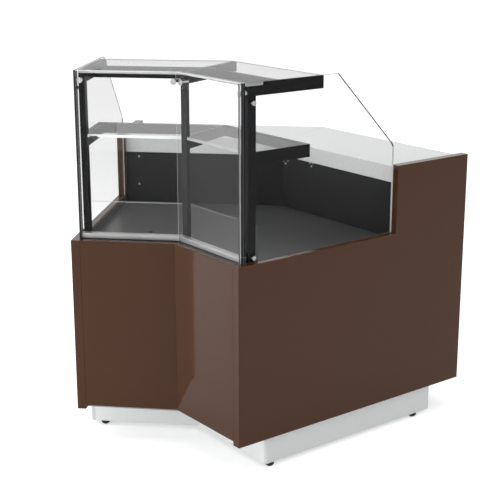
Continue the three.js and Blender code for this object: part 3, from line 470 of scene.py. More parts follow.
# painted light and shade: the rim colours below are paler and darker copies of one ground glass rim
shelfRim = rimWithPaintedLight("shelfRim", (188, 190, 187))
brightRim = rimWithPaintedLight("brightRim", (232, 234, 232))
softRim = rimWithPaintedLight("softRim", (158, 160, 157))
dimRim = rimWithPaintedLight("dimRim", (112, 114, 111))
paneRim = rimWithPaintedLight("paneRim", (226, 228, 226), inside=(34, 35, 35))
upperRim = rimWithPaintedLight("upperRim", (70, 72, 70))
uprightRim = rimWithPaintedLight("uprightRim", (196, 198, 194))
aluminium = anodised()
stone = paleStone()
zinc = zincSheet()
copper = copperTube()
rubber = darkRubber()
plastic = mouldedPlastic("blackPlastic", (30, 30, 32))
redPlastic = mouldedPlastic("redPlastic", (160, 32, 30), roughness=0.3)
greenPlastic = mouldedPlastic("greenPlastic", (34, 118, 58), roughness=0.3)
steel = satinSteel()
screenBlack = mouldedPlastic("screenBlack", (14, 15, 17), roughness=0.12)
buttonGrey = mouldedPlastic("buttonGrey", (120, 122, 124), roughness=0.5)
diffuser = mouldedPlastic("lampDiffuser", (232, 234, 232), roughness=0.5)
foam = rigidFoam()
print("materials made")

# flat pieces: each takes the node's own shape, with its edges softened, as
# (material, slot, width of the softened edges)
panels = {
    "front_panel_left": (brown, "brown_lacquer", 0.3),
    "front_panel_right": (brown, "brown_lacquer", 0.3),
    "end_panel_left": (brown, "brown_lacquer", 0.8),
    "end_panel_right": (brown, "brown_lacquer", 0.8),
    # the plinth front takes the paler copy of the pale sheet: painted light
    "plinth_front": (paleSheetLitCopy, "pale_steel", 0.5),
    "plinth_rear": (pale, "pale_steel", 0.5),
    "glass_profile_left": (aluminium, "profile_aluminium", 0.5),
    "glass_profile_right": (aluminium, "profile_aluminium", 0.5),
    "front_glass_left": (leftGlass, "clear_glass", 0.4),
    "front_glass_right": (rightGlass, "clear_glass", 0.4),
    # the left end pane takes the darker copy of the end glass: painted shade
    "end_glass_left": (endGlassPaintedDarker, "clear_glass", 0.4),
    "end_glass_right": (endGlass, "clear_glass", 0.4),
    "low_glass_left": (lowLeftGlass, "clear_glass", 0.4),
    "low_glass_right": (lowRightGlass, "clear_glass", 0.4),
    "top_shelf_left": (topShelfGlass, "clear_glass", 0.5),
    "top_shelf_right": (topShelfGlass, "clear_glass", 0.5),
    "middle_shelf_left": (middleShelfGlass, "clear_glass", 0.5),
    "middle_shelf_right": (middleShelfGlass, "clear_glass", 0.5),
    "shelf_frame_left": (black, "black_paint", 0.6),
    "shelf_frame_right": (black, "black_paint", 0.6),
    "shelf_frame_centre": (black, "black_paint", 0.6),
    "top_light_left": (black, "black_paint", 0.6),
    "top_light_right": (black, "black_paint", 0.6),
    "middle_light_left": (black, "black_paint", 0.6),
    "middle_light_right": (black, "black_paint", 0.6),
    "back_wall": (wallBlack, "black_paint", 0.3),
    "display_deck_left": (deckGrey, "dark_paint", 0.4),
    "display_deck_right": (deckGrey, "dark_paint", 0.4),
    "well_liner": (deckGrey, "dark_paint", 0.3),
    "well_insulation": (foam, "foam", 1.0),
    "worktop_left": (stone, "pale_stone", 1.5),
    "worktop_right": (stone, "pale_stone", 1.5),
    "base_pan": (zinc, "zinc_steel", 0.4),
    "rear_frame": (zinc, "zinc_steel", 0.6),
    "control_panel": (plastic, "black_plastic", 0.8),
    "drain_tray": (plastic, "black_plastic", 1.0),
}
# panes and shelves have ground rims: the faces that don't face the way their plate does,
# as (the plate's facing, the level rim on top, the sloped rim, the upright one, and the one
# below a pane or behind a shelf); each is a paler or darker copy of one ground rim, by facing and
# wing: painted light and shade
rims = {
    "front_glass_left": ("y", paneRim, paneRim, paneRim, upperRim),
    "front_glass_right": ("y", paneRim, paneRim, paneRim, upperRim),
    "end_glass_left": ("x", softRim, brightRim, softRim, upperRim),
    "end_glass_right": ("x", upperRim, upperRim, uprightRim, upperRim),
    "low_glass_left": ("y", uprightRim, uprightRim, upperRim, upperRim),
    "low_glass_right": ("y", dimRim, dimRim, upperRim, upperRim),
    "top_shelf_left": ("z", shelfRim, shelfRim, shelfRim, brightRim),
    "top_shelf_right": ("z", softRim, softRim, softRim, brightRim),
    "middle_shelf_left": ("z", brightRim, brightRim, brightRim, brightRim),
    "middle_shelf_right": ("z", softRim, softRim, softRim, softRim),
}


# how well a face's normal has to agree with a direction to be that kind of face
rimTest = {"plate": 0.9, "mitre": 0.99, "level": 0.9, "sloped": 0.3, "rear": 0.7}


def plateNormal(axis, wing):
    angle = -turn if wing == "right" else turn
    along = {"x": Vector((1, 0, 0)), "y": Vector((0, 1, 0)), "z": Vector((0, 0, 1))}[axis]
    return Matrix.Rotation(angle, 3, "Z") @ along


def addRim(piece, nodeName):
    wing = nodeName.rsplit("_", 1)[1]
    axis = rims[nodeName][0]
    facing = plateNormal(axis, wing)
    rearward = plateNormal("y", wing)
    for material in rims[nodeName][1:]:
        piece.data.materials.append(material)
    for face in piece.data.polygons:
        onPlate = abs(face.normal.dot(facing)) > rimTest["plate"]
        onMitre = abs(face.normal.x) > rimTest["mitre"]
        if onPlate or onMitre:
            continue
        behind = axis == "z" and face.normal.dot(rearward) > rimTest["rear"]
        # the materials follow the plate's own, in the order in which rims lists them
        if behind or face.normal.z < -rimTest["sloped"]:
            face.material_index = 4
        elif face.normal.z > rimTest["level"]:
            face.material_index = 1
        elif face.normal.z > rimTest["sloped"]:
            face.material_index = 2
        else:
            face.material_index = 3


# the front panels' top edges: width in millimetres, how near the top and how long in metres
topEdge = {"width": 2, "segments": 4, "within": 0.0001, "shortest": 0.1}


def roundTopEdges(piece):
    # the long edges along the top of a panel
    top = max(vertex.co.z for vertex in piece.data.vertices)
    pick(piece)
    bpy.ops.object.mode_set(mode="EDIT")
    bpy.ops.mesh.select_mode(type="EDGE")
    bpy.ops.mesh.select_all(action="DESELECT")
    bpy.ops.object.mode_set(mode="OBJECT")
    for edge in piece.data.edges:
        a, b = [piece.data.vertices[i].co for i in edge.vertices]
        onTop = min(a.z, b.z) > top - topEdge["within"]
        edge.select = onTop and (a - b).length > topEdge["shortest"]
    bpy.ops.object.mode_set(mode="EDIT")
    bpy.ops.mesh.bevel(offset=topEdge["width"] / 1000, segments=topEdge["segments"])
    bpy.ops.object.mode_set(mode="OBJECT")


for nodeName, (material, slotName, width) in panels.items():
    piece = cleanCopy(nodeName, camelName(nodeName))
    if nodeName.startswith("front_panel"):
        roundTopEdges(piece)
    bevelEdges(piece, width, segments=1 if slotName == "clear_glass" else 3)
    finishPiece(piece, "case", slotName, material, nodeName)
    if slotName == "clear_glass":
        addRim(piece, nodeName)
print("flat pieces made")

# levelling feet: a rubber pad and a locknut on a threaded stem
footShape = {
    "pad": [(9.2, 0), (10, 0.6), (14.4, 5.2), (15, 6.2), (15, 11.2), (14.5, 11.65)],
    "nut": [(9.5, 14.1), (10.3, 14.8), (10.3, 19.4), (9.5, 20)],
    "threadStart": 11.6,
    "threadEnd": 51.5,
    "threadPitch": 2,
    "threadOuter": 6,
    "threadInner": 5.1,
    "tipInset": 0.6,
}
footNodes = [name for name in nodes if name.startswith("levelling_foot")]
for nodeName in sorted(footNodes):
    low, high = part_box(nodeName)
    spot = ((low[0] + high[0]) / 2 * 1000, (low[1] + high[1]) / 2 * 1000, 0)
    stub = "".join(word.capitalize() for word in nodeName.split("_")[2:])
    pad = turned("footPad" + stub, footShape["pad"], "z", spot)
    finishPiece(pad, nodeName, "black_rubber", rubber, nodeName)
    nut = turned("footNut" + stub, footShape["nut"], "z", spot, sides=6, smoothAngle=10)
    halfPitch = footShape["threadPitch"] / 2
    steps = int((footShape["threadEnd"] - footShape["threadStart"]) / halfPitch)
    thread = [(footShape["threadInner"], footShape["threadStart"])]
    for step in range(1, steps):
        radius = footShape["threadOuter"] if step % 2 else footShape["threadInner"]
        thread.append((radius, footShape["threadStart"] + step * halfPitch))
    thread.append((footShape["threadInner"] - footShape["tipInset"], footShape["threadEnd"]))
    stem = turned("footStem" + stub, thread, "z", spot, sides=24)
    stem = joinPieces([stem, nut], "footStem" + stub)
    finishPiece(stem, nodeName, "zinc_steel", zinc)
print("feet made")

# disc clamps: satin discs on stems; the front ones are bonded behind the panes
clampShape = {
    "frontReach": 306.4,
    "frontFace": 32.3,
    "frontHeight": 1229,
    "postFront": 60,
    "postGap": 0.3,
    "endFace": 325.6,
    "endDepth": 75,
    "endHeights": {"top": 1199, "bottom": 719},
    "centreReach": 1,
    "centreBar": ((-32, 60.5, 1224), (32, 68.1, 1234)),
    "centreStem": (4, 33),
}
frontDisc = [(8.6, 0), (9.5, 0.7), (9.5, 3.4), (8.9, 4), (5.6, 4), (5, 4.6), (4, 5.2)]
# the stem's foot, with heights back from its end at the post
frontFoot = [(4, -4), (6, -3.6), (6.4, -3), (6.4, 0)]
endDisc = [(4, -8.5), (4, -0.3), (7, -0.2), (7.5, 0.4), (7.5, 3.3), (6.9, 3.9), (3.4, 4), (3, 3.2)]

for wing in ("left", "right"):
    stemEnd = clampShape["postFront"] - clampShape["postGap"]
    reach = stemEnd - clampShape["frontFace"]
    piece = turned(
        "frontClamp", frontDisc + [(radius, reach + back) for radius, back in frontFoot], "y",
        (clampShape["frontReach"], clampShape["frontFace"], clampShape["frontHeight"]))
    intoWing(piece, wing)
    piece.name = "frontClamp" + wing.capitalize()
    finishPiece(piece, "case", "satin_steel", steel, "front_clamp_" + wing)
    for place, height in clampShape["endHeights"].items():
        piece = turned(
            "endClamp" + place.capitalize() + wing.capitalize(), endDisc, "x",
            (clampShape["endFace"], clampShape["endDepth"], height))
        intoWing(piece, wing)
        finishPiece(piece, "case", "satin_steel", steel, "end_clamp_" + place + "_" + wing)

bar = block(*clampShape["centreBar"], "centreBar")
bevelEdges(bar, width=1.2, segments=3)
intoMiddle(bar)
arms = []
for wing in ("left", "right"):
    arm = turned(
        "centreArm", frontDisc + [clampShape["centreStem"]], "y",
        (clampShape["centreReach"], clampShape["frontFace"], clampShape["frontHeight"]))
    arms.append(intoWing(arm, wing))
finishPiece(joinPieces(arms, "centreClamp"), "case", "satin_steel", steel, "centre_clamp")
finishPiece(bar, "case", "black_paint", black, "centre_clamp")
bar.name = "centreClampBar"
print("clamps made")

# black rubber seal in the joint under each aluminium profile; its black also paints the shadow line
# under the profile (painted shade)
sealShape = {
    "start": -40, "end": 316.2, "front": 32.6, "rear": 36, "bottom": 702.2, "top": 707.7}
for wing in ("left", "right"):
    seal = block(
        (sealShape["start"], sealShape["front"], sealShape["bottom"]),
        (sealShape["end"], sealShape["rear"], sealShape["top"]), "glassSeal" + wing.capitalize())
    mitreCut(seal)
    bevelEdges(seal, width=0.8, segments=3)
    intoWing(seal, wing)
    finishPiece(seal, "case", "black_rubber", rubber)

# trim at the panes' ends: a black joint between front pane and end pane, a cap on the profile's
# end, a bead on the pane's front rim and a border behind it, as (low corner, high corner)
paneTrim = {
    "paneJoint": {
        "box": ((317.9, 32.3, 706.4), (325.3, 36.2, 1260.8)),
        "edge": {"width": 0.6, "segments": 3}, "slot": "black_rubber", "material": rubber},
    "profileCap": {
        "box": ((316.8, 32.4, 706.4), (317.5, 52, 724.8)),
        "edge": {"width": 0.2, "segments": 3}, "slot": "black_plastic", "material": plastic},
    "paneBead": {
        "box": ((316.8, 23.8, 706.4), (317.4, 27.6, 1260.8)),
        "edge": {"width": 0.2, "segments": 2}, "slot": "black_rubber", "material": rubber},
    "paneBorder": {
        "box": ((316.75, 37, 726), (317.2, 48.5, 1260.8)),
        "edge": {"width": 0.15, "segments": 2}, "slot": "black_paint", "material": black},
}
for wing in ("left", "right"):
    for trimName, trim in paneTrim.items():
        piece = block(*trim["box"], trimName + wing.capitalize())
        bevelEdges(piece, **trim["edge"])
        intoWing(piece, wing)
        finishPiece(piece, "case", trim["slot"], trim["material"])

# black joint in the corner between the two profiles
profileJoint = {"box": ((-1.5, 35.2, 706.4), (1.5, 37, 724.8))}
middleJoint = block(*profileJoint["box"], "profileJoint")
bevelEdges(middleJoint, width=0.4, segments=3)
intoMiddle(middleJoint)
finishPiece(middleJoint, "case", "black_rubber", rubber)

# black clips on the front edges of the left shelves, as (low corner, high corner)
shelfClips = [((241, 55.4, 1260.02), (270, 80, 1260.9)), ((262, 68.2, 1038.6), (288, 68.9, 1043))]
clips = []
for low, high in shelfClips:
    clip = block(low, high, "shelfClip")
    bevelEdges(clip, width=0.2, segments=2)
    clips.append(intoWing(clip, "left"))
finishPiece(joinPieces(clips, "shelfClips"), "case", "black_plastic", plastic)

# screw heads on the black wall behind the display, (along the front, height) on each wing
wallScrews = {
    "left": [(265, 854), (266, 747)],
    "right": [(-279, 851), (-266, 843), (-253, 856), (-129, 868), (-119, 857), (-111, 870)],
    "face": 684.5,
    "rings": [(3.6, 0), (3.6, 0.5), (3.1, 1.3), (2.2, 1.8), (1.7, 1.9), (1.4, 1.1)],
}
for wing in ("left", "right"):
    heads = []
    for x, height in wallScrews[wing]:
        head = turned(
            "wallScrew", wallScrews["rings"], "-y", (x, wallScrews["face"], height), sides=20)
        heads.append(intoWing(head, wing))
    screws = joinPieces(heads, "wallScrews" + wing.capitalize())
    finishPiece(screws, "case", "satin_steel", steel)
print("seals, trim, clips and wall screws made")

# rear doors: leaves with a hinge edge, a gasket behind and a knob; hoods over the left one's slots
doorShape = {
    "gasket": (-356, 276, 167, 793),
    "gasketWidth": 10,
    "gasketFace": 981,
    "gasketGap": 0.05,
    "gasketThickness": 2.5,
    "outerFace": 999,
    "slotFrom": -174.9,
    "slotTo": 85.1,
    "slotFirst": 224.3,
    "slotPitch": 18,
    "slotCount": 12,
    "hoodDepth": 5,
    "hoodHeight": 9,
    "hoodOverlap": 4,
    "hoodSunk": 0.1,
    "hoodLift": 3.5,
    "hoodTop": (0.97, 0.02, 1),
}
for wing in ("left", "right"):
    nodeName = "rear_door_" + wing
    leaf = cleanCopy(nodeName, "rearDoor" + wing.capitalize())
    bevelEdges(leaf, width=0.7, segments=3)
    finishPiece(leaf, nodeName, "zinc_steel", zinc, nodeName)
    x0, x1, z0, z1 = doorShape["gasket"]
    w = doorShape["gasketWidth"]
    y1 = doorShape["gasketFace"] - doorShape["gasketGap"]
    y0 = y1 - doorShape["gasketThickness"]
    strips = [
        block((x0, y0, z0), (x1, y1, z0 + w), "strip"),
        block((x0, y0, z1 - w), (x1, y1, z1), "strip"),
        block((x0, y0, z0 + w), (x0 + w, y1, z1 - w), "strip"),
        block((x1 - w, y0, z0 + w), (x1, y1, z1 - w), "strip"),
    ]
    gasket = joinPieces(strips, "doorGasket" + wing.capitalize())
    bevelEdges(gasket, width=0.9, segments=3)
    intoWing(gasket, wing)
    finishPiece(gasket, nodeName, "black_rubber", rubber)

# one hood is a block whose upper face is drawn in to the leaf
hoodFrom = doorShape["slotFrom"] - doorShape["hoodOverlap"]
hoodTo = doorShape["slotTo"] + doorShape["hoodOverlap"]
hoodBack = doorShape["outerFace"] - doorShape["hoodSunk"]
hoodFace = doorShape["outerFace"] + doorShape["hoodDepth"]
hood = block(
    (hoodFrom, hoodBack, 0), (hoodTo, hoodFace, doorShape["hoodHeight"]), "louvreHood")
selectFaces(hood, lambda face: face.normal.z > finish["faceUp"])
slotMiddle = (doorShape["slotFrom"] + doorShape["slotTo"]) / 2
bpy.ops.transform.resize(
    value=doorShape["hoodTop"],
    center_override=mm(slotMiddle, doorShape["outerFace"], doorShape["hoodHeight"]))
bpy.ops.object.mode_set(mode="OBJECT")
bevelEdges(hood, width=0.9, segments=3, angle=20)
hoods = []
for i in range(doorShape["slotCount"]):
    lift = doorShape["slotFirst"] + i * doorShape["slotPitch"] + doorShape["hoodLift"]
    hoods.append(movedCopy(hood, "louvreHood", 0, 0, lift))
bpy.data.objects.remove(hood)
hoods = joinPieces(hoods, "louvreHoods")
intoWing(hoods, "left")
finishPiece(hoods, "rear_door_left", "zinc_steel", zinc)
print("doors made")

# rocker switches, display window and buttons of the control panel
controlShape = {
    "face": 1007.3,
    "middle": 851.7,
    "window": {"from": 77.2, "to": 127.2, "halfHeight": 15.5, "thickness": 1.6, "sunk": 1.9},
    "buttons": [141, 156, 171],
    "buttonRings": [(5, -0.5), (5, 0.8), (4.4, 1.6), (3.6, 1.8), (3, 1.5)],
}
switches = {
    "power_switch": (redPlastic, "red_plastic"),
    "light_switch": (greenPlastic, "green_plastic"),
}
for nodeName, (material, slotName) in switches.items():
    rocker = cleanCopy(nodeName, camelName(nodeName))
    bevelEdges(rocker, width=0.6, segments=3)
    finishPiece(rocker, nodeName, slotName, material, nodeName)
windowShape = controlShape["window"]
windowBack = controlShape["face"] - windowShape["sunk"]
window = block(
    (windowShape["from"], windowBack, controlShape["middle"] - windowShape["halfHeight"]),
    (windowShape["to"], windowBack + windowShape["thickness"],
     controlShape["middle"] + windowShape["halfHeight"]), "displayWindow")
bevelEdges(window, width=0.4, segments=3)
intoWing(window, "right")
finishPiece(window, "case", "black_plastic", screenBlack)
buttons = [
    turned(
        "button", controlShape["buttonRings"], "y",
        (x, controlShape["face"], controlShape["middle"]), sides=32)
    for x in controlShape["buttons"]]
for button in buttons:
    intoWing(button, "right")
finishPiece(joinPieces(buttons, "panelButtons"), "case", "black_plastic", buttonGrey)
print("controls made")

# compressor: a domed steel shell with a weld band, on a plate with rubber mounts
compressorShape = {
    "centre": (39.7, 559.7),
    "floor": 123.3,
    "padHeight": 12,
    "plate": 4,
    "reach": 92,
    "wall": 0.6,
    "height": 205,
    "shoulder": 46,
    "domeRings": 11,
    "domeStep": 8.7,
    "bandHeight": 104,
    "bandEdges": (-6, -4, 1, 3),
    "bandProud": 1.6,
    "foot": [(58, 0.5), (69, 2), (86, 14)],
    "footTop": 23,
    "portSpread": 31,
    "portTop": 350.2,
    "portRadius": 8.6,
    "portBottom": 322,
    "portRound": 1,
    "boxSize": (34, 26, 52),
    "boxLift": 60,
    "mountInset": 12,
    "mountRings": [
        (11, 123.35), (12, 124.5), (12, 128), (9.5, 129.5), (9.5, 131.5), (12, 133), (12, 135.2)],
    "boltRings": [(7, 139.3), (7, 144), (6.2, 145), (3.5, 145), (3.5, 148), (2.8, 148.6)],
}
cx, cy = compressorShape["centre"]
shellFloor = compressorShape["floor"] + compressorShape["padHeight"] + compressorShape["plate"] / 2
reach = compressorShape["reach"]
wall = reach - compressorShape["wall"]
bandFace = reach + compressorShape["bandProud"]
bandHeights = [compressorShape["bandHeight"] + edge for edge in compressorShape["bandEdges"]]
rings = compressorShape["foot"] + [(wall, compressorShape["footTop"])]
rings += zip((wall, bandFace, bandFace, wall), bandHeights)
for i in range(compressorShape["domeRings"]):
    angle = math.radians(i * compressorShape["domeStep"])
    drop = compressorShape["shoulder"] * (1 - math.sin(angle))
    rings.append((wall * math.cos(angle), compressorShape["height"] - drop))
shell = turned("compressorShell", rings, "z", (cx, cy, shellFloor), sides=72)
terminalX, terminalY, terminalZ = compressorShape["boxSize"]
boxLow = shellFloor + compressorShape["boxLift"]
box = block(
    (cx - terminalX, cy - reach - terminalY / 2, boxLow),
    (cx + terminalX, cy - reach + terminalY, boxLow + terminalZ), "compressorTerminals")
bevelEdges(box, width=4, segments=4)
plateLow = compressorShape["floor"] + compressorShape["padHeight"]
plateHigh = plateLow + compressorShape["plate"]
plate = block(
    (cx - reach, cy - reach, plateLow), (cx + reach, cy + reach, plateHigh), "compressorPlate")
bevelEdges(plate, width=1.2, segments=3)
mounts = []
bolts = []
mountReach = reach - compressorShape["mountInset"]
for sideX in (-1, 1):
    for sideY in (-1, 1):
        spot = (cx + sideX * mountReach, cy + sideY * mountReach, 0)
        mounts.append(turned(
            "compressorMount", compressorShape["mountRings"], "z", spot, sides=32))
        bolts.append(turned(
            "compressorBolt", compressorShape["boltRings"], "z", spot, sides=6, smoothAngle=10))
portRadius, portTop = compressorShape["portRadius"], compressorShape["portTop"]
portRound = compressorShape["portRound"]
portRings = [
    (portRadius, compressorShape["portBottom"]), (portRadius, portTop - portRound),
    (portRadius - portRound, portTop)]
ports = [
    turned(
        "compressorPort", portRings, "z", (cx + side * compressorShape["portSpread"], cy, 0),
        sides=32)
    for side in (-1, 1)]
for piece in [shell, box, plate] + mounts + bolts + ports:
    intoWing(piece, "left")
finishPiece(shell, "case", "black_paint", black, "compressor")
finishPiece(box, "case", "black_plastic", plastic)
finishPiece(joinPieces([plate] + bolts, "compressorPlate"), "case", "zinc_steel", zinc)
finishPiece(joinPieces(mounts, "compressorMounts"), "case", "black_rubber", rubber)
finishPiece(joinPieces(ports, "compressorPorts"), "case", "copper", copper)
print("compressor made")

# heat exchangers: finned blocks with the bends of their copper tubes at the ends
coilShape = {"bendRadius": 12, "tubeRadius": 4.5, "standOff": 0.1}
exchangers = {
    "condenser": {
        "wing": "left", "slot": "zinc_steel", "material": zinc, "ends": (-119.8, 179.7),
        "depth": 925, "bends": [157 + 44 * i for i in range(6)]},
    "evaporator": {
        "wing": "right", "slot": "profile_aluminium", "material": aluminium, "ends": (-20.3, 259.7),
        "depth": 541, "bends": [575 + 50 * i for i in range(2)]},
}
for nodeName, shape in exchangers.items():
    finned = cleanCopy(nodeName, nodeName + "Block")
    bevelEdges(finned, width=0.25, segments=1)
    finishPiece(finned, "case", shape["slot"], shape["material"], nodeName)
    bends = []
    for end, side in zip(shape["ends"], (-1, 1)):
        for height in shape["bends"]:
            clearSelection()
            bpy.ops.mesh.primitive_torus_add(
                major_radius=coilShape["bendRadius"] / 1000,
                minor_radius=coilShape["tubeRadius"] / 1000, major_segments=32, minor_segments=16,
                location=mm(end, shape["depth"], height), rotation=(math.radians(90), 0, 0))
            bend = bpy.context.object
            applyAll(bend)
            selectFaces(bend, lambda face: True)
            bpy.ops.mesh.bisect(
                plane_co=mm(end + side * coilShape["standOff"], 0, 0), plane_no=(side, 0, 0),
                use_fill=True, clear_inner=True)
            bpy.ops.object.mode_set(mode="OBJECT")
            bpy.ops.object.shade_smooth_by_angle(angle=math.radians(finish["roundSmooth"]))
            bends.append(intoWing(bend, shape["wing"]))
    tubes = joinPieces(bends, nodeName + "Bends")
    finishPiece(tubes, "case", "copper", copper)
print("heat exchangers made")


# fans and their motors, about an axis along the wing's depth: rings as
# (share of the radius, share of the length, millimetres more along the axis)
hubRings = [(0.7, -0.5, 0), (1, -0.5, 2), (1, 0.5, -4), (0.86, 0.5, -1), (0.5, 0.5, 0)]
bladeShape = {"thickness": 1.8, "root": 0.9, "tipGap": 1, "twistShare": 0.5}
# the band's rings as (millimetres inside the fan's radius, share of the depth, millimetres more)
bandRings = [
    (2, -0.5, 1), (1.4, -0.5, 0), (0.3, -0.5, 0.6), (0.3, 0.5, -0.6), (1.4, 0.5, 0), (2, 0.5, -1)]
bandSides = 96
motorShape = {
    "rear": [(0.55, -1, 0), (0.8, -1, 1), (0.95, -0.93, 0), (1, -0.85, 0), (1, -0.6, 0)],
    "ribs": 5,
    "ribFrom": 0.6,
    "ribPitch": 0.07,
    "rib": [(0.94, 0.01), (0.94, 0.035), (1, 0.045)],
    "front": [(1, -0.12, 0), (0.9, -0.04, 0), (0.3, 0, -1.5), (0.3, 0, -0.2)],
    "fanGap": 0.3,
    "standHalfWidth": 8,
    "standFrom": 0.75,
    "standTo": 0.25,
    "standTop": 0.8,
    "standLift": 0.02,
}


def scaledRings(rings, radius, length):
    return [(radius * share, length * along + more) for share, along, more in rings]


def makeFan(name, centre, radius, hub, depth, chord, pitch, bladeCount):
    parts = [turned(name + "Hub", scaledRings(hubRings, hub, depth), "y", centre)]
    clearSelection()
    root = hub * bladeShape["root"]
    span = radius - bladeShape["tipGap"] - root
    bpy.ops.mesh.primitive_grid_add(x_subdivisions=10, y_subdivisions=6, size=1)
    blade = bpy.context.object
    blade.scale = (span / 1000, chord / 1000, 1)
    applyAll(blade)
    thicken = blade.modifiers.new("bladeWall", "SOLIDIFY")
    thicken.thickness = bladeShape["thickness"] / 1000
    thicken.offset = 0
    twist = blade.modifiers.new("bladeTwist", "SIMPLE_DEFORM")
    twist.deform_method = "TWIST"
    twist.deform_axis = "X"
    twist.angle = math.radians(pitch * bladeShape["twistShare"])
    applyAll(blade)
    bpy.ops.object.shade_smooth_by_angle(angle=math.radians(finish["roundSmooth"]))
    for i in range(bladeCount):
        vane = copyOf(blade, name + "Blade")
        vane.data.transform(
            Matrix.Translation(mm(*centre)) @ Matrix.Rotation(math.tau * i / bladeCount, 4, "Y")
            @ Matrix.Translation(mm(root + span / 2, 0, 0))
            @ Matrix.Rotation(math.radians(pitch), 4, "X"))
        parts.append(vane)
    bpy.data.objects.remove(blade)
    rings = [(radius - inside, depth * along + more) for inside, along, more in bandRings]
    fanBand = turned(name + "Band", rings, "y", centre, sides=bandSides)
    # the band is a ring: its two flat ends open and its inner wall is joined up
    selectFaces(fanBand, lambda face: len(face.vertices) == bandSides)
    bpy.ops.mesh.delete(type="FACE")
    bpy.ops.mesh.select_mode(type="EDGE")
    bpy.ops.mesh.select_all(action="SELECT")
    bpy.ops.mesh.region_to_loop()
    bpy.ops.mesh.bridge_edge_loops()
    bpy.ops.mesh.select_all(action="SELECT")
    bpy.ops.mesh.normals_make_consistent(inside=False)
    bpy.ops.object.mode_set(mode="OBJECT")
    parts.append(fanBand)
    return joinPieces(parts, name)


def makeMotor(name, centre, radius, length, fanDepth, floorHeight):
    # a ribbed drum behind the fan, on a stand
    rear = centre[1] - fanDepth / 2 - motorShape["fanGap"]
    rings = scaledRings(motorShape["rear"], radius, length)
    for i in range(motorShape["ribs"]):
        start = -length * motorShape["ribFrom"] + i * length * motorShape["ribPitch"]
        rings += [(radius * share, start + length * along) for share, along in motorShape["rib"]]
    rings += scaledRings(motorShape["front"], radius, length)
    body = turned(name, rings, "y", (centre[0], rear, centre[2]), sides=56)
    half = motorShape["standHalfWidth"]
    stand = block(
        (centre[0] - half, rear - length * motorShape["standFrom"],
         floorHeight + motorShape["standLift"]),
        (centre[0] + half, rear - length * motorShape["standTo"],
         centre[2] - radius * motorShape["standTop"]), name + "Stand")
    bevelEdges(stand, width=1.5, segments=3)
    return body, stand


fanShape = {
    "condenser": {
        "wing": "left", "centre": (29.94, 883, 268), "radius": 104.2, "hub": 28, "depth": 22,
        "chord": 54, "pitch": 17, "blades": 5, "motorRadius": 36, "motorLength": 60,
        "floor": 123.3},
    "evaporator": {
        "wing": "right", "centre": (119.7, 447.8, 602.8), "radius": 47.5, "hub": 16, "depth": 16,
        "chord": 26, "pitch": 24, "blades": 5, "motorRadius": 24, "motorLength": 38,
        "floor": 552.3},
}
for place, shape in fanShape.items():
    fan = makeFan(
        place + "Fan", shape["centre"], shape["radius"], shape["hub"], shape["depth"],
        shape["chord"], shape["pitch"], shape["blades"])
    intoWing(fan, shape["wing"])
    finishPiece(fan, place + "_fan", "black_plastic", plastic, place + "_fan")
    body, stand = makeMotor(
        place + "FanMotor", shape["centre"], shape["motorRadius"], shape["motorLength"],
        shape["depth"], shape["floor"])
    intoWing(body, shape["wing"])
    intoWing(stand, shape["wing"])
    finishPiece(body, "case", "black_paint", black, place + "_fan_motor")
    finishPiece(stand, "case", "zinc_steel", zinc)
print("fans made")

# copper lines: the node's own run, shaded smooth around its bends
pipeShape = {"smoothAngle": 50}
pipes = cleanCopy("pipework", "copperLines")
pick(pipes)
bpy.ops.object.shade_smooth_by_angle(angle=math.radians(pipeShape["smoothAngle"]))
finishPiece(pipes, "case", "copper", copper, "pipework")
print("copper lines made")

# light strips in the undersides of the black housings
lampShape = {
    "top": {"front": 190, "rear": 199, "underside": 1218.7},
    "middle": {"front": 293, "rear": 302, "underside": 1007.7},
    "start": -160,
    "end": 290,
    "proud": 1.2,
    "gap": 0.02,
    "cornerGap": 16,
}
for level in ("top", "middle"):
    shape = lampShape[level]
    for wing in ("left", "right"):
        strip = block(
            (lampShape["start"], shape["front"], shape["underside"] - lampShape["proud"]),
            (lampShape["end"], shape["rear"], shape["underside"] - lampShape["gap"]),
            level + "LightStrip" + wing.capitalize())
        mitreCut(strip, gap=lampShape["cornerGap"])
        bevelEdges(strip, width=0.5, segments=3)
        intoWing(strip, wing)
        finishPiece(strip, "case", "clear_glass", diffuser)
print("light strips made")

# camera at the photograph's angle
cameraPlace = {
    "location": (2.0847, -3.6053, 1.7476), "tilt": 74.20, "turn": 29.90, "lens": 86.08,
    "sensor": 36}
cameraData = bpy.data.cameras.new("viewCamera")
cameraData.sensor_width = cameraPlace["sensor"]
cameraData.lens = cameraPlace["lens"]
camera = bpy.data.objects.new("viewCamera", cameraData)
camera.location = cameraPlace["location"]
camera.rotation_euler = (math.radians(cameraPlace["tilt"]), 0, math.radians(cameraPlace["turn"]))
bpy.context.collection.objects.link(camera)
bpy.context.scene.camera = camera

# white studio: a floor and a world that show as white but light the case less, and soft lamps
studio = {
    "worldStrength": 0.7,
    "floorSize": 60,
    "floorDrop": 0.0005,
    "floorShade": 0.8,
    "floorRoughness": 0.9,
    "floorLift": 0.5,
    "glossyShare": 0.35,
}


def mathNode(tree, operation, first, second):
    # the second is a socket to link or a plain number
    node = tree.nodes.new("ShaderNodeMath")
    node.operation = operation
    tree.links.new(first, node.inputs[0])
    if isinstance(second, bpy.types.NodeSocket):
        tree.links.new(second, node.inputs[1])
    else:
        node.inputs[1].default_value = second
    return node.outputs[0]


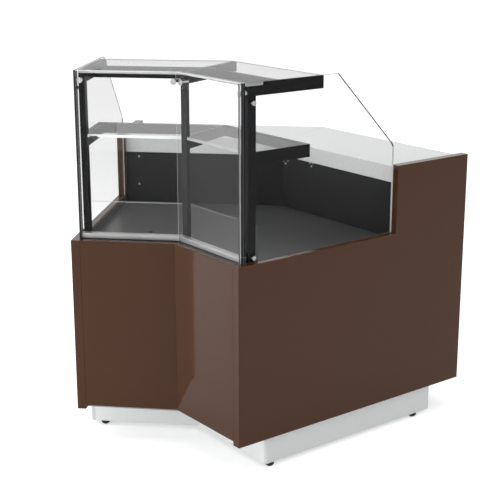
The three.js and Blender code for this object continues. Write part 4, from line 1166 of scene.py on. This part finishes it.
clearSelection()
bpy.ops.mesh.primitive_plane_add(size=studio["floorSize"], location=(0, 0, -studio["floorDrop"]))
floor = bpy.context.object
floor.name = "studioFloor"
floorMaterial = newMaterial("floorPaper", (studio["floorShade"],) * 3, studio["floorRoughness"])
floorTree = floorMaterial.node_tree
floorRays = floorTree.nodes.new("ShaderNodeLightPath").outputs
mirrored = mathNode(floorTree, "MULTIPLY", floorRays["Is Glossy Ray"], studio["glossyShare"])
seen = mathNode(floorTree, "MAXIMUM", floorRays["Is Camera Ray"], mirrored)
seenThrough = mathNode(floorTree, "MAXIMUM", seen, floorRays["Is Transmission Ray"])
floorGlow = mathNode(floorTree, "MULTIPLY", seenThrough, studio["floorLift"])
floorShader = floorTree.nodes["Principled BSDF"]
floorShader.inputs["Emission Color"].default_value = (1, 1, 1, 1)
floorTree.links.new(floorGlow, floorShader.inputs["Emission Strength"])
floor.data.materials.append(floorMaterial)

world = bpy.data.worlds.new("studioWorld")
world.use_nodes = True
bpy.context.scene.world = world
worldTree = world.node_tree
worldTree.nodes.clear()
worldRays = worldTree.nodes.new("ShaderNodeLightPath").outputs
seen = mathNode(worldTree, "MAXIMUM", worldRays["Is Camera Ray"], worldRays["Is Glossy Ray"])
seenThrough = mathNode(worldTree, "MAXIMUM", seen, worldRays["Is Transmission Ray"])
lit = worldTree.nodes.new("ShaderNodeBackground")
lit.inputs["Color"].default_value = (1, 1, 1, 1)
lit.inputs["Strength"].default_value = studio["worldStrength"]
shown = worldTree.nodes.new("ShaderNodeBackground")
shown.inputs["Color"].default_value = (1, 1, 1, 1)
shown.inputs["Strength"].default_value = 1
mixShown = worldTree.nodes.new("ShaderNodeMixShader")
out = worldTree.nodes.new("ShaderNodeOutputWorld")
worldTree.links.new(seenThrough, mixShown.inputs["Fac"])
worldTree.links.new(lit.outputs[0], mixShown.inputs[1])
worldTree.links.new(shown.outputs[0], mixShown.inputs[2])
worldTree.links.new(mixShown.outputs[0], out.inputs["Surface"])

lamps = {
    "frontLamp": {"place": (-3, -4.4, 0.9), "aim": (0, 0, 0.45), "size": (5, 1.6), "power": 125},
    "rightLamp": {"place": (4.5, -2, 0.9), "aim": (0, 0, 0.45), "size": (3, 1.4), "power": 26},
    "leftLamp": {"place": (-2.4, -0.7, 2.2), "aim": (-2.4, -0.7, 0), "size": (2, 2), "power": 45},
    "topLamp": {"place": (0.3, 0.2, 4), "aim": (0, 0.1, 0.9), "size": (4, 4), "power": 64},
}
for name, lamp in lamps.items():
    lampData = bpy.data.lights.new(name, "AREA")
    lampData.shape = "RECTANGLE"
    lampData.size, lampData.size_y = lamp["size"]
    lampData.energy = lamp["power"]
    lampObject = bpy.data.objects.new(name, lampData)
    lampObject.location = lamp["place"]
    aim = Vector(lamp["aim"]) - Vector(lamp["place"])
    lampObject.rotation_euler = aim.to_track_quat("-Z", "Y").to_euler()
    lampObject.visible_glossy = False
    bpy.context.collection.objects.link(lampObject)

bpy.context.scene.view_settings.view_transform = "Standard"
print("camera and studio made")
